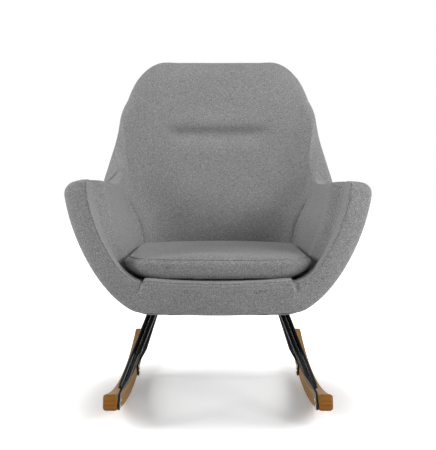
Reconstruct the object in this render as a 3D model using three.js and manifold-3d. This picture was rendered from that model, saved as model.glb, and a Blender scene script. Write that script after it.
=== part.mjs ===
// Rocking chair: an upholstered shell with winged arms on black rod legs and two wooden rockers.
// Millimetres, +Z up. The sitter faces -Y. The chair is symmetric about the plane X = 0.
import * as THREE from 'three';
import { mergeVertices } from 'three/addons/utils/BufferGeometryUtils.js';
import Module from 'manifold-3d';

const wasm = await Module();
wasm.setup();

// Gaps between neighbours
const FIT = 0.3; // between pieces that touch
const LAYER_GAP = 0.8; // between the shell's layers

// Shell outline
const BACK_TOP_Z = 968;
const BACK_TOP_Y = 405;
const HEAD_HALF_WIDTH = 243; // at the shoulders
const SADDLE_Z = 595; // where the back's edge runs into the arm
const ARM_TIP_Z = 602;
const ARM_TIP_Y = -262;
const ARM_HALF_WIDTH = 373;
const SADDLE_HALF_WIDTH = ARM_HALF_WIDTH - 23;
const SHELL_BOTTOM_Z = 282;
const BASE_HALF_WIDTH = 190; // flat part of the underside
const BASE_FRONT_NARROWING = 30; // the same is this much narrower at its front edge
const BASE_FRONT_HALF_WIDTH = BASE_HALF_WIDTH - BASE_FRONT_NARROWING;
const BASE_BACK_Y = 172;
const BASE_FRONT_Y = -282;
const HEEL_HALF_WIDTH = 270; // how far the underside swells before it turns up
const HEEL_BACK_Y = 300;
const FLANGE_WIDTH = 72; // flat inner rim of the underside that the deck frame rests on

// Shell layers, from the outside in
const COVER_THICKNESS = 5;
const FRAME_THICKNESS = 12;
const WALL_THICKNESS = 62; // all layers together
const RIM_ROUNDING = 24; // how far below the rim its outer edge turns over
const FRAME_BELOW_RIM = 32;
const JOINT_GAP = 0.0008; // share of the way round that is left free where two shells or pads meet
const PAD_START = 0.2; // share of the wall's curve below which there is no padding
const PAD_FULL = 0.55; // and from which it has its full thickness
const PAD_THINNING = 18; // at PAD_START
const BAND_DEPTH = 38;
const BAND_HEIGHT = 86.5; // under the seat's front edge

// Seat deck
const RAIL_THICKNESS = 30;
const SIDE_RAIL_INNER_X = BASE_HALF_WIDTH - FLANGE_WIDTH;
const SIDE_RAIL_OUTER_X = BASE_HALF_WIDTH - 16;
const SIDE_RAIL_BACK_Y = 88;
const REAR_RAIL_HALF_WIDTH = 146;
const REAR_RAIL_DEPTH = 56;
const FRONT_RAIL_HALF_WIDTH = BASE_FRONT_HALF_WIDTH - 10;
const FRONT_RAIL_DEPTH = 50;
const SPRING_WIRE = 4;
const SPRING_COUNT = 4;
const SPRING_PITCH_X = 56;
const SPRING_HALF_SWING = 17;
const SPRING_WAVES = 9;
const DECK_PAD_THICKNESS = 34;
const DECK_PAD_HALF_WIDTH = BASE_HALF_WIDTH;
const DECK_PAD_BACK_Y = 158;
const DECK_PAD_CORNER = 60;
const DUST_COVER_THICKNESS = 1.3;
const DUST_COVER_SIDE_GAP = 3; // to the mounting plates

// Seat cushion
const CUSHION_SIDE_GAP = 4.5; // to the pads, where they stand closest
const CUSHION_FRONT_Y = -316;
const CUSHION_BACK_Y = 172;
const CUSHION_THICKNESS = 58;
const CUSHION_CORNER = 72;
const CUSHION_END_CROWN = 12; // how much further than 0.45 of its sides the crown draws in at the ends
const CUSHION_UP = 0.46; // place on the wall's curve beside the cushion's widest level
const CUSHION_FALL = 14; // how much lower its top is at the back

// Legs
const ROD_DIAMETER = 12;
const FRONT_HEAD_Y = -112;
const REAR_HEAD_Y = 52;
const FRONT_FOOT_REACH = 325; // from the rocker's lowest point
const REAR_FOOT_REACH = 80;
const ROD_TAPER = 48; // the inner rod's lower end is ground to a wedge over this length
const ROD_WEDGE_EDGE = 2;
const TAB_THICKNESS = 5;
const TAB_WIDTH = 20;
const TAB_BELOW_BEND = 40; // it bends at the rocker's top edge
const TAB_NECK = 14; // from the bend up to the rods
const TAB_INTO_ROD = 22;
const TONGUE_SPARE = 0.5; // the tongue is narrower than a rod, at each edge
const SLOT_SPARE = 1; // the slot in the rods is deeper than the tongue
const PLATE_THICKNESS = 4;
const PLATE_WIDTH = 50;
const PLATE_OUTER_X = BASE_HALF_WIDTH - 12;
const PLATE_INNER_X = PLATE_OUTER_X - PLATE_WIDTH;
const ROD_HEAD_X = PLATE_OUTER_X - ROD_DIAMETER; // middle of a pair under the plate
const PLATE_FRONT_Y = -162;
const PLATE_BACK_Y = 86;
const PLATE_CORNER = 8;
const BOLT_DIAMETER = 6;
const BOLT_HEAD_DIAMETER = 13;
const BOLT_HEAD_HEIGHT = 4;
const BOLT_EDGE_DISTANCE = 11;
const SCREW_DIAMETER = 4.5;
const SCREW_HEAD_DIAMETER = 9;
const SCREW_HEAD_HEIGHT = 2.6;
const SCREW_LENGTH = 22;
const SCREW_SPACING = 15;
const SCREW_HOLE_SPARE = 2; // the hole in the rocker is deeper than the screw
const HOLE_CLEARANCE = 0.8; // on the diameter

// Rockers
const ROCKER_RADIUS = 1280; // of the running edge
const ROCKER_FACET = 56; // the arc is stepped in facets of this length, one lies flat on the floor
const ROCKER_FACETS_EACH_WAY = 6; // from the flat one
const ROCKER_LOWEST_Y = 48; // under the chair's centre of mass
const ROCKER_INNER_X = 245;
const ROCKER_WIDTH = 35;
const ROCKER_HEIGHT = 40;
const ROCKER_EDGE = 7;

const FRONT_FOOT_Y = ROCKER_LOWEST_Y - FRONT_FOOT_REACH;
const REAR_FOOT_Y = ROCKER_LOWEST_Y + REAR_FOOT_REACH;
const RAIL_BOTTOM_Z = SHELL_BOTTOM_Z + COVER_THICKNESS + LAYER_GAP + FRAME_THICKNESS + FIT;
const RAIL_TOP_Z = RAIL_BOTTOM_Z + RAIL_THICKNESS;
const DECK_PAD_BOTTOM_Z = RAIL_TOP_Z + FIT + SPRING_WIRE + FIT;
const DECK_PAD_TOP_Z = DECK_PAD_BOTTOM_Z + DECK_PAD_THICKNESS;
const PLATE_TOP_Z = SHELL_BOTTOM_Z - FIT;
const ROD_TOP_Z = PLATE_TOP_Z - PLATE_THICKNESS - FIT;
const FRAME_DEPTH_OUT = COVER_THICKNESS + LAYER_GAP; // depth of the frame's outer face
const FRAME_DEPTH_IN = FRAME_DEPTH_OUT + FRAME_THICKNESS;

const FABRIC = { color: 0x7d7f82, roughness: 0.95, metalness: 0 };
const LINING = { color: 0x1d1d1f, roughness: 0.9, metalness: 0 };
const FOAM = { color: 0xd9d2b8, roughness: 0.95, metalness: 0 };
const PLYWOOD = { color: 0xc9a878, roughness: 0.7, metalness: 0 };
const LACQUERED_WOOD = { color: 0xb07a42, roughness: 0.4, metalness: 0 };
const BLACK_STEEL = { color: 0x101012, roughness: 0.25, metalness: 0.6 };
const ZINC_STEEL = { color: 0xa8aab0, roughness: 0.35, metalness: 1 };

const UP = new THREE.Vector3(0, 0, 1);
const SIDES = [['left', 1], ['right', -1]]; // name, sign of X

const chair = new THREE.Group();

function addPiece(name, geometry, look) {
  geometry.computeVertexNormals();
  const mesh = new THREE.Mesh(geometry, new THREE.MeshStandardMaterial(look));
  mesh.name = name;
  chair.add(mesh);
  return mesh;
}

// ---- Closed meshes ----

function signedVolume(positions, index) {
  const a = new THREE.Vector3();
  const b = new THREE.Vector3();
  const c = new THREE.Vector3();
  let volume = 0;
  for (let i = 0; i < index.length; i += 3) {
    a.fromArray(positions, index[i] * 3);
    b.fromArray(positions, index[i + 1] * 3);
    c.fromArray(positions, index[i + 2] * 3);
    volume += a.dot(b.cross(c)) / 6;
  }
  return volume;
}

function closedGeometry(positions, index) {
  const outward = signedVolume(positions, index) > 0;
  const faces = outward ? index : index.slice().reverse();
  const geometry = new THREE.BufferGeometry();
  geometry.setAttribute('position', new THREE.Float32BufferAttribute(positions, 3));
  geometry.setIndex(faces);
  return geometry;
}

// Closes a ring like the rungs of a ladder, from its first and last points inwards, so that two
// pieces that meet at a joint have equal ends.
function capFaces(count) {
  const faces = [];
  for (let low = 0, high = count - 1; low + 1 < high; low++, high--) {
    faces.push([low, low + 1, high]);
    if (low + 2 < high) faces.push([low + 1, high - 1, high]);
  }
  return faces;
}

// Skins a row of rings with the same number of points, and closes both ends. `flipped` says at
// which edges of which ring the faces are split along their other diagonal.
function loft(rings, flipped = () => false) {
  const count = rings[0].length;
  const positions = rings.flat().flatMap((p) => p.toArray());
  const index = [];
  for (let r = 0; r + 1 < rings.length; r++) {
    for (let i = 0; i < count; i++) {
      const next = (i + 1) % count;
      const a = r * count + i;
      const b = r * count + next;
      const c = a + count;
      const d = b + count;
      if (flipped(i, r)) index.push(a, b, c, b, d, c);
      else index.push(a, b, d, a, d, c);
    }
  }
  const last = (rings.length - 1) * count;
  for (const [p, q, r] of capFaces(count)) index.push(r, q, p, last + p, last + q, last + r);
  return closedGeometry(positions, index);
}

function toManifold(geometry) {
  const bare = geometry.clone();
  bare.deleteAttribute('normal');
  bare.deleteAttribute('uv');
  const merged = mergeVertices(bare, 1e-4);
  return new wasm.Manifold(new wasm.Mesh({
    numProp: 3,
    vertProperties: new Float32Array(merged.attributes.position.array),
    triVerts: new Uint32Array(merged.index.array),
  }));
}

function fromManifold(solid) {
  const mesh = solid.getMesh();
  const geometry = new THREE.BufferGeometry();
  geometry.setAttribute('position', new THREE.BufferAttribute(mesh.vertProperties, 3));
  geometry.setIndex(new THREE.BufferAttribute(mesh.triVerts, 1));
  return geometry;
}

function cut(geometry, tools) {
  let solid = toManifold(geometry);
  for (const tool of tools) solid = solid.subtract(toManifold(tool));
  return fromManifold(solid);
}

function box(x0, x1, y0, y1, z0, z1) {
  const geometry = new THREE.BoxGeometry(Math.abs(x1 - x0), y1 - y0, z1 - z0);
  geometry.translate((x0 + x1) / 2, (y0 + y1) / 2, (z0 + z1) / 2);
  return geometry;
}

function roundedRectangle(x0, x1, y0, y1, corner, cornerSteps) {
  const quarters = [[x1 - corner, y1 - corner, 0], [x0 + corner, y1 - corner, 1],
    [x0 + corner, y0 + corner, 2], [x1 - corner, y0 + corner, 3]];
  const points = [];
  for (const [cx, cy, quarter] of quarters) {
    for (let i = 0; i <= cornerSteps; i++) {
      const angle = (quarter + i / cornerSteps) * Math.PI / 2;
      points.push(new THREE.Vector2(cx + corner * Math.cos(angle), cy + corner * Math.sin(angle)));
    }
  }
  return points;
}

// ---- The shell's outer surface ----

// Five curves run round the shell from the middle of the back to the tip of one arm.
// The wall is a cubic curve between four of them: base and heel lie in the underside, the
// belly sets how the wall swells, and the rim is its upper edge. The lip is the flange's edge.
const lipX = BASE_HALF_WIDTH - FLANGE_WIDTH;
const lipY = BASE_BACK_Y - FLANGE_WIDTH;
const backEdgeX = (share) => THREE.MathUtils.lerp(HEAD_HALF_WIDTH, SADDLE_HALF_WIDTH, share);
const net = {
  lip: [[0, lipY], [lipX - 80, lipY], [lipX - 52, lipY - 2], [lipX - 30, lipY - 9],
    [lipX - 15, lipY - 24], [lipX - 6, lipY - 46], [lipX - 1, lipY - 82], [lipX, lipY - 158],
    [lipX, lipY - 265], [lipX, BASE_FRONT_Y]],
  base: [[0, BASE_BACK_Y], [BASE_HALF_WIDTH - 115, BASE_BACK_Y - 1],
    [BASE_HALF_WIDTH - 65, BASE_BACK_Y - 6], [BASE_HALF_WIDTH - 30, BASE_BACK_Y - 22],
    [BASE_HALF_WIDTH - 10, BASE_BACK_Y - 50], [BASE_HALF_WIDTH - 2, BASE_BACK_Y - 86],
    [BASE_HALF_WIDTH, BASE_BACK_Y - 125], [BASE_HALF_WIDTH, BASE_BACK_Y - 212],
    [BASE_HALF_WIDTH - 2, BASE_BACK_Y - 327], [BASE_FRONT_HALF_WIDTH, BASE_FRONT_Y]],
  heel: [[0, HEEL_BACK_Y], [HEEL_HALF_WIDTH - 178, HEEL_BACK_Y - 2],
    [HEEL_HALF_WIDTH - 113, HEEL_BACK_Y - 10], [HEEL_HALF_WIDTH - 58, HEEL_BACK_Y - 32],
    [HEEL_HALF_WIDTH - 18, HEEL_BACK_Y - 66], [HEEL_HALF_WIDTH + 2, HEEL_BACK_Y - 112],
    [HEEL_HALF_WIDTH + 7, HEEL_BACK_Y - 172], [HEEL_HALF_WIDTH + 4, HEEL_BACK_Y - 250],
    [HEEL_HALF_WIDTH + 2, HEEL_BACK_Y - 420], [HEEL_HALF_WIDTH, BASE_FRONT_Y]],
  belly: [[0, BACK_TOP_Y - 87, SADDLE_Z - 18], [106, BACK_TOP_Y - 89, SADDLE_Z - 18],
    [178, BACK_TOP_Y - 97, SADDLE_Z - 23], [243, BACK_TOP_Y - 120, SADDLE_Z - 38],
    [ARM_HALF_WIDTH - 85, BACK_TOP_Y - 157, SADDLE_Z - 66],
    [ARM_HALF_WIDTH - 45, BACK_TOP_Y - 203, SADDLE_Z - 93],
    [ARM_HALF_WIDTH - 27, BACK_TOP_Y - 261, SADDLE_Z - 116],
    [ARM_HALF_WIDTH - 27, ARM_TIP_Y + 332, SADDLE_Z - 132],
    [ARM_HALF_WIDTH - 19, ARM_TIP_Y + 172, SADDLE_Z - 134],
    [ARM_HALF_WIDTH - 3, ARM_TIP_Y - 12, ARM_TIP_Z - 118]],
  rim: [[0, BACK_TOP_Y, BACK_TOP_Z], [HEAD_HALF_WIDTH - 120, BACK_TOP_Y - 1, BACK_TOP_Z],
    [HEAD_HALF_WIDTH - 52, BACK_TOP_Y - 4, BACK_TOP_Z - 3],
    [HEAD_HALF_WIDTH, BACK_TOP_Y - 15, BACK_TOP_Z - 40],
    [backEdgeX(0.38), BACK_TOP_Y - 45, BACK_TOP_Z - 130],
    [backEdgeX(0.74), BACK_TOP_Y - 92, BACK_TOP_Z - 230],
    [backEdgeX(0.94), BACK_TOP_Y - 175, SADDLE_Z + 54],
    [SADDLE_HALF_WIDTH, ARM_TIP_Y + 387, SADDLE_Z],
    [ARM_HALF_WIDTH - 14, ARM_TIP_Y + 197, SADDLE_Z],
    [ARM_HALF_WIDTH, ARM_TIP_Y, ARM_TIP_Z]],
};

function halfCurve(points) {
  const known = points.map(([x, y, z = SHELL_BOTTOM_Z]) => new THREE.Vector3(x, y, z));
  const mirrored = known.slice(1, 3).reverse().map((p) => new THREE.Vector3(-p.x, p.y, p.z));
  return new THREE.CatmullRomCurve3([...mirrored, ...known]);
}

const netCurves = Object.fromEntries(Object.entries(net).map(([k, v]) => [k, halfCurve(v)]));
const STATIONS = net.rim.length - 1;

// Point of one net curve at `around`, from -1 (one arm tip) over 0 (middle of the back) to 1.
function netPoint(name, around) {
  const t = (Math.abs(around) * STATIONS + 2) / (STATIONS + 2);
  const point = netCurves[name].getPoint(t);
  if (around < 0) point.x = -point.x;
  return point;
}

function wallCurve(around) {
  return new THREE.CubicBezierCurve3(...['base', 'heel', 'belly', 'rim'].map((n) => netPoint(n, around)));
}

const AROUND_STEP = 1e-3;

// Point at `up` (0 base to 1 rim) and `depth` mm in from the outer surface.
// Below 0 it lies on the flat flange, which ends at -1.
function wallPoint(around, up, depth) {
  if (up < 0) {
    const flat = netPoint('base', around).lerp(netPoint('lip', around), -up);
    return flat.setZ(SHELL_BOTTOM_Z + depth);
  }
  const curve = wallCurve(around);
  const before = Math.max(around - AROUND_STEP, -1);
  const after = Math.min(around + AROUND_STEP, 1);
  const along = wallCurve(after).getPoint(up).sub(wallCurve(before).getPoint(up));
  const rise = curve.getTangent(Math.max(up, 1e-4));
  const inward = along.cross(rise).normalize();
  if (up === 0) inward.set(0, 0, 1);
  return curve.getPoint(up).addScaledVector(inward, depth);
}

// The wall's parameter `drop` mm below the rim.
function belowRim(around, drop) {
  const curve = wallCurve(around);
  const speed = 3 * curve.v3.distanceTo(curve.v2);
  return 1 - drop / speed;
}

const UP_STEPS = [0.1, PAD_START, 0.32, 0.46, 0.6, 0.74, 0.88];
const FINE = 2; // steps between two stations of the net
const aroundSteps = [];
for (let i = -STATIONS * FINE; i <= STATIONS * FINE; i++) aroundSteps.push(i / (STATIONS * FINE));
const PAD_CORNER = 6.5 / STATIONS; // where an arm pad meets the back's padding
const PAD_JOINT = 3.5 / STATIONS; // where the back pad meets the pads of its curved sides
const FRAME_JOINT = 4.5 / STATIONS; // where the moulded back meets the moulded sides

// Stations of the piece across the middle, which ends at `to` on both sides.
function middleStations(to) {
  return aroundSteps.filter((a) => Math.abs(a) <= to + 1e-9);
}

// Stations of a piece on one side, which starts a joint's gap beyond `from`.
function sideStations(sign, from, to = 1) {
  const inner = aroundSteps.filter((a) => a > from + 1e-9 && a <= to + 1e-9);
  return [from + JOINT_GAP, ...inner].map((a) => sign * a);
}

// The padding turns over the rim: depth from the outside, drop below the rim.
const RIM_PROFILE = [[COVER_THICKNESS + LAYER_GAP, RIM_ROUNDING], [12, 0.58 * RIM_ROUNDING],
  [22, 0.25 * RIM_ROUNDING], [34, 0.06 * RIM_ROUNDING], [46, 0], [56, 3], [WALL_THICKNESS, 13]];

// Sweeps a section of [up, depth] points round the shell. Faces that look at each other across
// a layer gap are split along the same diagonal, so that they stay parallel.
function wallSolid(stations, section) {
  const rings = stations.map((a) => section(a).map(([up, depth]) => wallPoint(a, up, depth)));
  const shape = section(stations[0]);
  const goesDown = (i) => shape[(i + 1) % shape.length][0] < shape[i][0];
  const nearsMiddle = (r) => Math.abs(stations[r + 1]) < Math.abs(stations[r]);
  return loft(rings, (i, r) => goesDown(i) !== nearsMiddle(r));
}

function layerSection(around, topDrop, outside, inside) {
  const ups = [-1, 0, ...UP_STEPS, belowRim(around, topDrop)];
  const outer = ups.map((up) => [up, outside]);
  const inner = ups.map((up) => [up, inside]).reverse();
  return [...outer, ...inner];
}

function padDepth(up) {
  return WALL_THICKNESS - PAD_THINNING * (1 - THREE.MathUtils.smoothstep(up, PAD_START, PAD_FULL));
}

function padSection(around) {
  const ups = UP_STEPS.filter((up) => up >= PAD_START);
  const back = FRAME_DEPTH_IN + LAYER_GAP;
  const front = COVER_THICKNESS + LAYER_GAP;
  const step = belowRim(around, FRAME_BELOW_RIM - 2 * LAYER_GAP);
  return [
    ...ups.map((up) => [up, back]),
    [step, back],
    [step, front],
    ...RIM_PROFILE.map(([depth, drop]) => [belowRim(around, drop), depth]),
    ...ups.map((up) => [up, padDepth(up)]).reverse(),
  ];
}

function addShell(boltHoles) {
  const coverSection = (a) => layerSection(a, RIM_ROUNDING, 0, COVER_THICKNESS);
  const frameSection = (a) => layerSection(a, FRAME_BELOW_RIM, FRAME_DEPTH_OUT, FRAME_DEPTH_IN);
  addPiece('outer_shell_cover', cut(wallSolid(aroundSteps, coverSection), boltHoles), FABRIC);
  addPiece('shell_frame_back', wallSolid(middleStations(FRAME_JOINT), frameSection), PLYWOOD);
  addPiece('back_pad', wallSolid(middleStations(PAD_JOINT), padSection), FABRIC);
  for (const [side, sign] of SIDES) {
    const frame = wallSolid(sideStations(sign, FRAME_JOINT), frameSection);
    const backSide = wallSolid(sideStations(sign, PAD_JOINT, PAD_CORNER), padSection);
    const arm = wallSolid(sideStations(sign, PAD_CORNER), padSection);
    addPiece(`shell_frame_side_${side}`, cut(frame, boltHoles), PLYWOOD);
    addPiece(`back_pad_side_${side}`, backSide, FABRIC);
    addPiece(`arm_pad_${side}`, arm, FABRIC);
  }
}

// ---- Front band: arm tip, down, under the seat and up to the other arm tip ----

const BAND_STEPS = [0.92, 0.84, 0.74, 0.62, 0.5, 0.4, 0.3, 0.2, 0.1, 0];

// The arm's tip: drop below the rim, where the band starts and ends across its thickness
// there, and the share of its full depth that it still has.
const BAND_TIP = [[0, 36, 52, 0.45], [1.5, 30, 56, 0.7], [6, 20, 60, 0.86], [13, 9, 62, 0.96]];

// One section of the band. `from` and `to` are measured inwards from `outer`.
function bandRing(outer, inward, from, to, fullness) {
  const back = -2 * LAYER_GAP;
  const shape = [[back, 0], [-12, 0], [-25, 0.06], [-34, 0.2], [-BAND_DEPTH, 0.42],
    [-0.95 * BAND_DEPTH, 0.72], [-29, 0.9], [-16, 1], [back, 1]];
  return shape.map(([y, across]) => {
    const point = outer.clone().addScaledVector(inward, THREE.MathUtils.lerp(from, to, across));
    point.y += y === back ? y : y * fullness;
    return point;
  });
}

function addFrontBand() {
  const ringAt = (up, from, to, fullness) => {
    const outer = wallPoint(1, up, 0);
    return bandRing(outer, wallPoint(1, up, 1).sub(outer).normalize(), from, to, fullness);
  };
  const half = BAND_TIP.map(([drop, ...rest]) => ringAt(belowRim(1, drop), ...rest));
  for (const up of BAND_STEPS) {
    const swell = THREE.MathUtils.smoothstep(0.45 - up, 0, 0.45);
    half.push(ringAt(up, 0, THREE.MathUtils.lerp(WALL_THICKNESS, BAND_HEIGHT, swell), 1));
  }
  const mirrored = half.map((ring) => ring.map((p) => new THREE.Vector3(-p.x, p.y, p.z)));
  const rings = [...half, ...mirrored.reverse()];
  addPiece('front_band', loft(rings), FABRIC);
}

// ---- Seat deck ----

function addDeck(boltHoles) {
  for (const [side, sign] of SIDES) {
    const rail = box(sign * SIDE_RAIL_INNER_X, sign * SIDE_RAIL_OUTER_X,
      BASE_FRONT_Y + FRONT_RAIL_DEPTH + FIT, SIDE_RAIL_BACK_Y, RAIL_BOTTOM_Z, RAIL_TOP_Z);
    addPiece(`side_rail_${side}`, cut(rail, boltHoles), PLYWOOD);
  }
  addPiece('front_rail', box(-FRONT_RAIL_HALF_WIDTH, FRONT_RAIL_HALF_WIDTH, BASE_FRONT_Y,
    BASE_FRONT_Y + FRONT_RAIL_DEPTH, RAIL_BOTTOM_Z, RAIL_TOP_Z), PLYWOOD);
  const rearFront = SIDE_RAIL_BACK_Y + FIT;
  addPiece('rear_rail', box(-REAR_RAIL_HALF_WIDTH, REAR_RAIL_HALF_WIDTH, rearFront,
    rearFront + REAR_RAIL_DEPTH, RAIL_BOTTOM_Z, RAIL_TOP_Z), PLYWOOD);
  for (let i = 0; i < SPRING_COUNT; i++) {
    const x = (i - (SPRING_COUNT - 1) / 2) * SPRING_PITCH_X;
    addPiece(`zigzag_spring_${i + 1}`, spring(x), ZINC_STEEL);
  }
  const pad = new THREE.Shape(roundedRectangle(-DECK_PAD_HALF_WIDTH, DECK_PAD_HALF_WIDTH,
    BASE_FRONT_Y + FIT, DECK_PAD_BACK_Y, DECK_PAD_CORNER, 5));
  const padSolid = new THREE.ExtrudeGeometry(pad, { depth: DECK_PAD_THICKNESS, bevelEnabled: false });
  addPiece('deck_pad', padSolid.translate(0, 0, DECK_PAD_BOTTOM_Z), FOAM);
  const coverHalfWidth = PLATE_INNER_X - DUST_COVER_SIDE_GAP;
  addPiece('dust_cover', box(-coverHalfWidth, coverHalfWidth, BASE_FRONT_Y,
    BASE_BACK_Y - FLANGE_WIDTH / 2, SHELL_BOTTOM_Z - FIT - DUST_COVER_THICKNESS,
    SHELL_BOTTOM_Z - FIT), LINING);
}

// A zigzag wire that lies on the front and rear rails.
function spring(x) {
  const start = BASE_FRONT_Y + FRONT_RAIL_DEPTH / 2;
  const end = SIDE_RAIL_BACK_Y + REAR_RAIL_DEPTH / 2;
  const z = RAIL_TOP_Z + FIT + SPRING_WIRE / 2;
  const points = [];
  for (let i = 0; i <= SPRING_WAVES * 2; i++) {
    const y = THREE.MathUtils.lerp(start, end, i / (SPRING_WAVES * 2));
    const swing = i === 0 || i === SPRING_WAVES * 2 ? 0 : SPRING_HALF_SWING * (i % 2 ? 1 : -1);
    points.push(new THREE.Vector3(x + swing, y, z));
  }
  const section = new THREE.Shape(new THREE.EllipseCurve(0, 0, SPRING_WIRE / 2, SPRING_WIRE / 2)
    .getPoints(6).slice(0, 6));
  const path = new THREE.CatmullRomCurve3(points);
  return new THREE.ExtrudeGeometry(section, { steps: SPRING_WAVES * 4, extrudePath: path });
}

// ---- Seat cushion: crowned above, narrowed below where the shell curves in under it ----

// The cushion fills the seat between the pads. Its width is a whole number of millimetres.
function cushionHalfWidth() {
  const beside = aroundSteps.filter((a) => a > PAD_JOINT);
  const faces = beside.filter((a) => wallPoint(a, CUSHION_UP, 0).y < CUSHION_BACK_Y - CUSHION_CORNER)
    .map((a) => wallPoint(a, CUSHION_UP, padDepth(CUSHION_UP)).x);
  return Math.floor(Math.min(...faces) - CUSHION_SIDE_GAP);
}

function addCushion() {
  const halfWidth = cushionHalfWidth();
  const bottom = DECK_PAD_TOP_Z + FIT;
  const length = CUSHION_BACK_Y - CUSHION_FRONT_Y;
  // Height share, how far the outline lies inside the widest one at the sides
  const levels = [[0, 52], [0.1, 38], [0.38, 9], [0.6, 0], [0.8, 5], [0.93, 26], [1, 78]];
  const rings = levels.map(([share, inset]) => {
    const end = Math.min(inset, 0.45 * inset + CUSHION_END_CROWN);
    const outline = roundedRectangle(-halfWidth + inset, halfWidth - inset,
      CUSHION_FRONT_Y + end, CUSHION_BACK_Y - end, CUSHION_CORNER, 4);
    return outline.map((p) => {
      const fall = CUSHION_FALL * (p.y - CUSHION_FRONT_Y) / length;
      return new THREE.Vector3(p.x, p.y, bottom + share * (CUSHION_THICKNESS - fall));
    });
  });
  addPiece('seat_cushion', loft(rings), FABRIC);
}

// ---- Legs ----

function rockerTopZ(y) {
  return ROCKER_RADIUS - Math.sqrt(ROCKER_RADIUS ** 2 - (y - ROCKER_LOWEST_Y) ** 2) + ROCKER_HEIGHT;
}

// Where a pair's tab bends, the rods' lower end, their direction up to the plate, and the
// direction from one rod to the other.
function legLine(sign, footY, headY) {
  const tabMiddle = ROCKER_INNER_X - FIT - TAB_THICKNESS / 2;
  const bend = new THREE.Vector3(sign * tabMiddle, footY, rockerTopZ(footY));
  const head = new THREE.Vector3(sign * ROD_HEAD_X, headY, ROD_TOP_Z);
  const along = head.clone().sub(bend).normalize();
  const foot = bend.clone().addScaledVector(along, TAB_NECK);
  const across = new THREE.Vector3(1, 0, 0).addScaledVector(along, -along.x).normalize();
  return { bend, foot, head, along, across, third: along.clone().cross(across) };
}

// One rod: round, with a domed lower end, and cut level under the plate.
function rod(line, side) {
  const radius = ROD_DIAMETER / 2;
  const sides = 12;
  const offset = line.across.clone().multiplyScalar(side * (radius + FIT / 2));
  const ringAt = (center, r, level) => {
    const ring = [];
    for (let i = 0; i < sides; i++) {
      const angle = (i / sides) * 2 * Math.PI;
      const p = center.clone().addScaledVector(line.across, r * Math.cos(angle))
        .addScaledVector(line.third, r * Math.sin(angle));
      if (level) p.addScaledVector(line.along, (ROD_TOP_Z - p.z) / line.along.z);
      ring.push(p);
    }
    return ring;
  };
  const start = line.foot.clone().add(offset);
  const rings = [25, 50, 75, 90].map((degrees) => {
    const angle = THREE.MathUtils.degToRad(degrees);
    const center = start.clone().addScaledVector(line.along, radius * (1 - Math.cos(angle)));
    return ringAt(center, radius * Math.sin(angle), false);
  });
  rings.push(ringAt(line.head.clone().add(offset), radius, true));
  return loft(rings);
}

// Moves a tool made about the rods' lower end, with X across the pair and Z up along it.
function onLeg(tool, line) {
  const basis = new THREE.Matrix4().makeBasis(line.across, line.third, line.along);
  return tool.applyMatrix4(basis.setPosition(line.foot));
}

// Slot between the two rods that takes the tab's tongue.
function tongueSlot(line) {
  const half = TAB_THICKNESS / 2 + FIT;
  const slot = box(-half, half, -ROD_DIAMETER, ROD_DIAMETER, -ROD_DIAMETER, TAB_INTO_ROD + SLOT_SPARE);
  return onLeg(slot, line);
}

// What is ground away from the inner rod's lower end.
function taperCut(line, sign) {
  const angle = Math.atan((ROD_DIAMETER - ROD_WEDGE_EDGE) / ROD_TAPER);
  const waste = box(0, -sign * 2 * ROD_DIAMETER, -ROD_DIAMETER, ROD_DIAMETER, -ROD_TAPER, 2 * ROD_TAPER);
  waste.rotateY(-sign * angle).translate(-sign * ROD_WEDGE_EDGE, 0, 0);
  return onLeg(waste, line);
}

// Steel blade: its lower lobe lies on the rocker, and from the bend it leans in with the rods.
function tab(line) {
  const lean = new THREE.Vector2(line.along.y, line.along.z);
  const run = lean.length();
  lean.normalize();
  const width = TAB_WIDTH / 2;
  const tongue = ROD_DIAMETER / 2 - TONGUE_SPARE;
  const low = -TAB_BELOW_BEND + width;
  const top = (TAB_NECK + TAB_INTO_ROD) * run;
  const slope = line.along.x / run;
  const corner = (p, q, face) => new THREE.Vector3(
    line.bend.x + face * TAB_THICKNESS / 2 + Math.max(p, 0) * slope,
    line.bend.y + p * lean.x - q * lean.y,
    line.bend.z + p * lean.y + q * lean.x);
  const ring = (p, half) => [corner(p, half, 1), corner(p, -half, 1), corner(p, -half, -1),
    corner(p, half, -1)];
  const lobe = [20, 40, 65, 90].map((degrees) => {
    const angle = THREE.MathUtils.degToRad(degrees);
    return ring(low - width * Math.cos(angle), width * Math.sin(angle));
  });
  return loft([...lobe, ring(0, width), ring(TAB_NECK * run, tongue), ring(top, tongue)]);
}

function screwPlaces(line) {
  const lean = new THREE.Vector3(0, line.along.y, line.along.z).normalize();
  const low = line.bend.clone().addScaledVector(lean, -TAB_BELOW_BEND + TAB_WIDTH / 2);
  return [low, low.clone().addScaledVector(lean, SCREW_SPACING)];
}

// A round bar with a head, its axis along `direction` from the head's seat.
function fastener(seat, direction, diameter, length, headDiameter, headHeight) {
  const head = headDiameter / 2;
  const shaft = diameter / 2;
  const profile = [[0, -headHeight], [0.64 * head, -headHeight], [head, -0.35 * headHeight], [head, 0],
    [shaft, 0], [shaft, length - shaft], [0, length]];
  const geometry = new THREE.LatheGeometry(profile.map(([x, y]) => new THREE.Vector2(x, y)), 10);
  const turn = new THREE.Quaternion().setFromUnitVectors(new THREE.Vector3(0, 1, 0), direction);
  geometry.applyQuaternion(turn);
  geometry.translate(seat.x, seat.y, seat.z);
  return geometry;
}

function drill(center, axis, diameter, length) {
  const geometry = new THREE.CylinderGeometry(diameter / 2, diameter / 2, length, 12);
  geometry.applyQuaternion(new THREE.Quaternion().setFromUnitVectors(new THREE.Vector3(0, 1, 0), axis));
  geometry.translate(center.x, center.y, center.z);
  return geometry;
}

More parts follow.
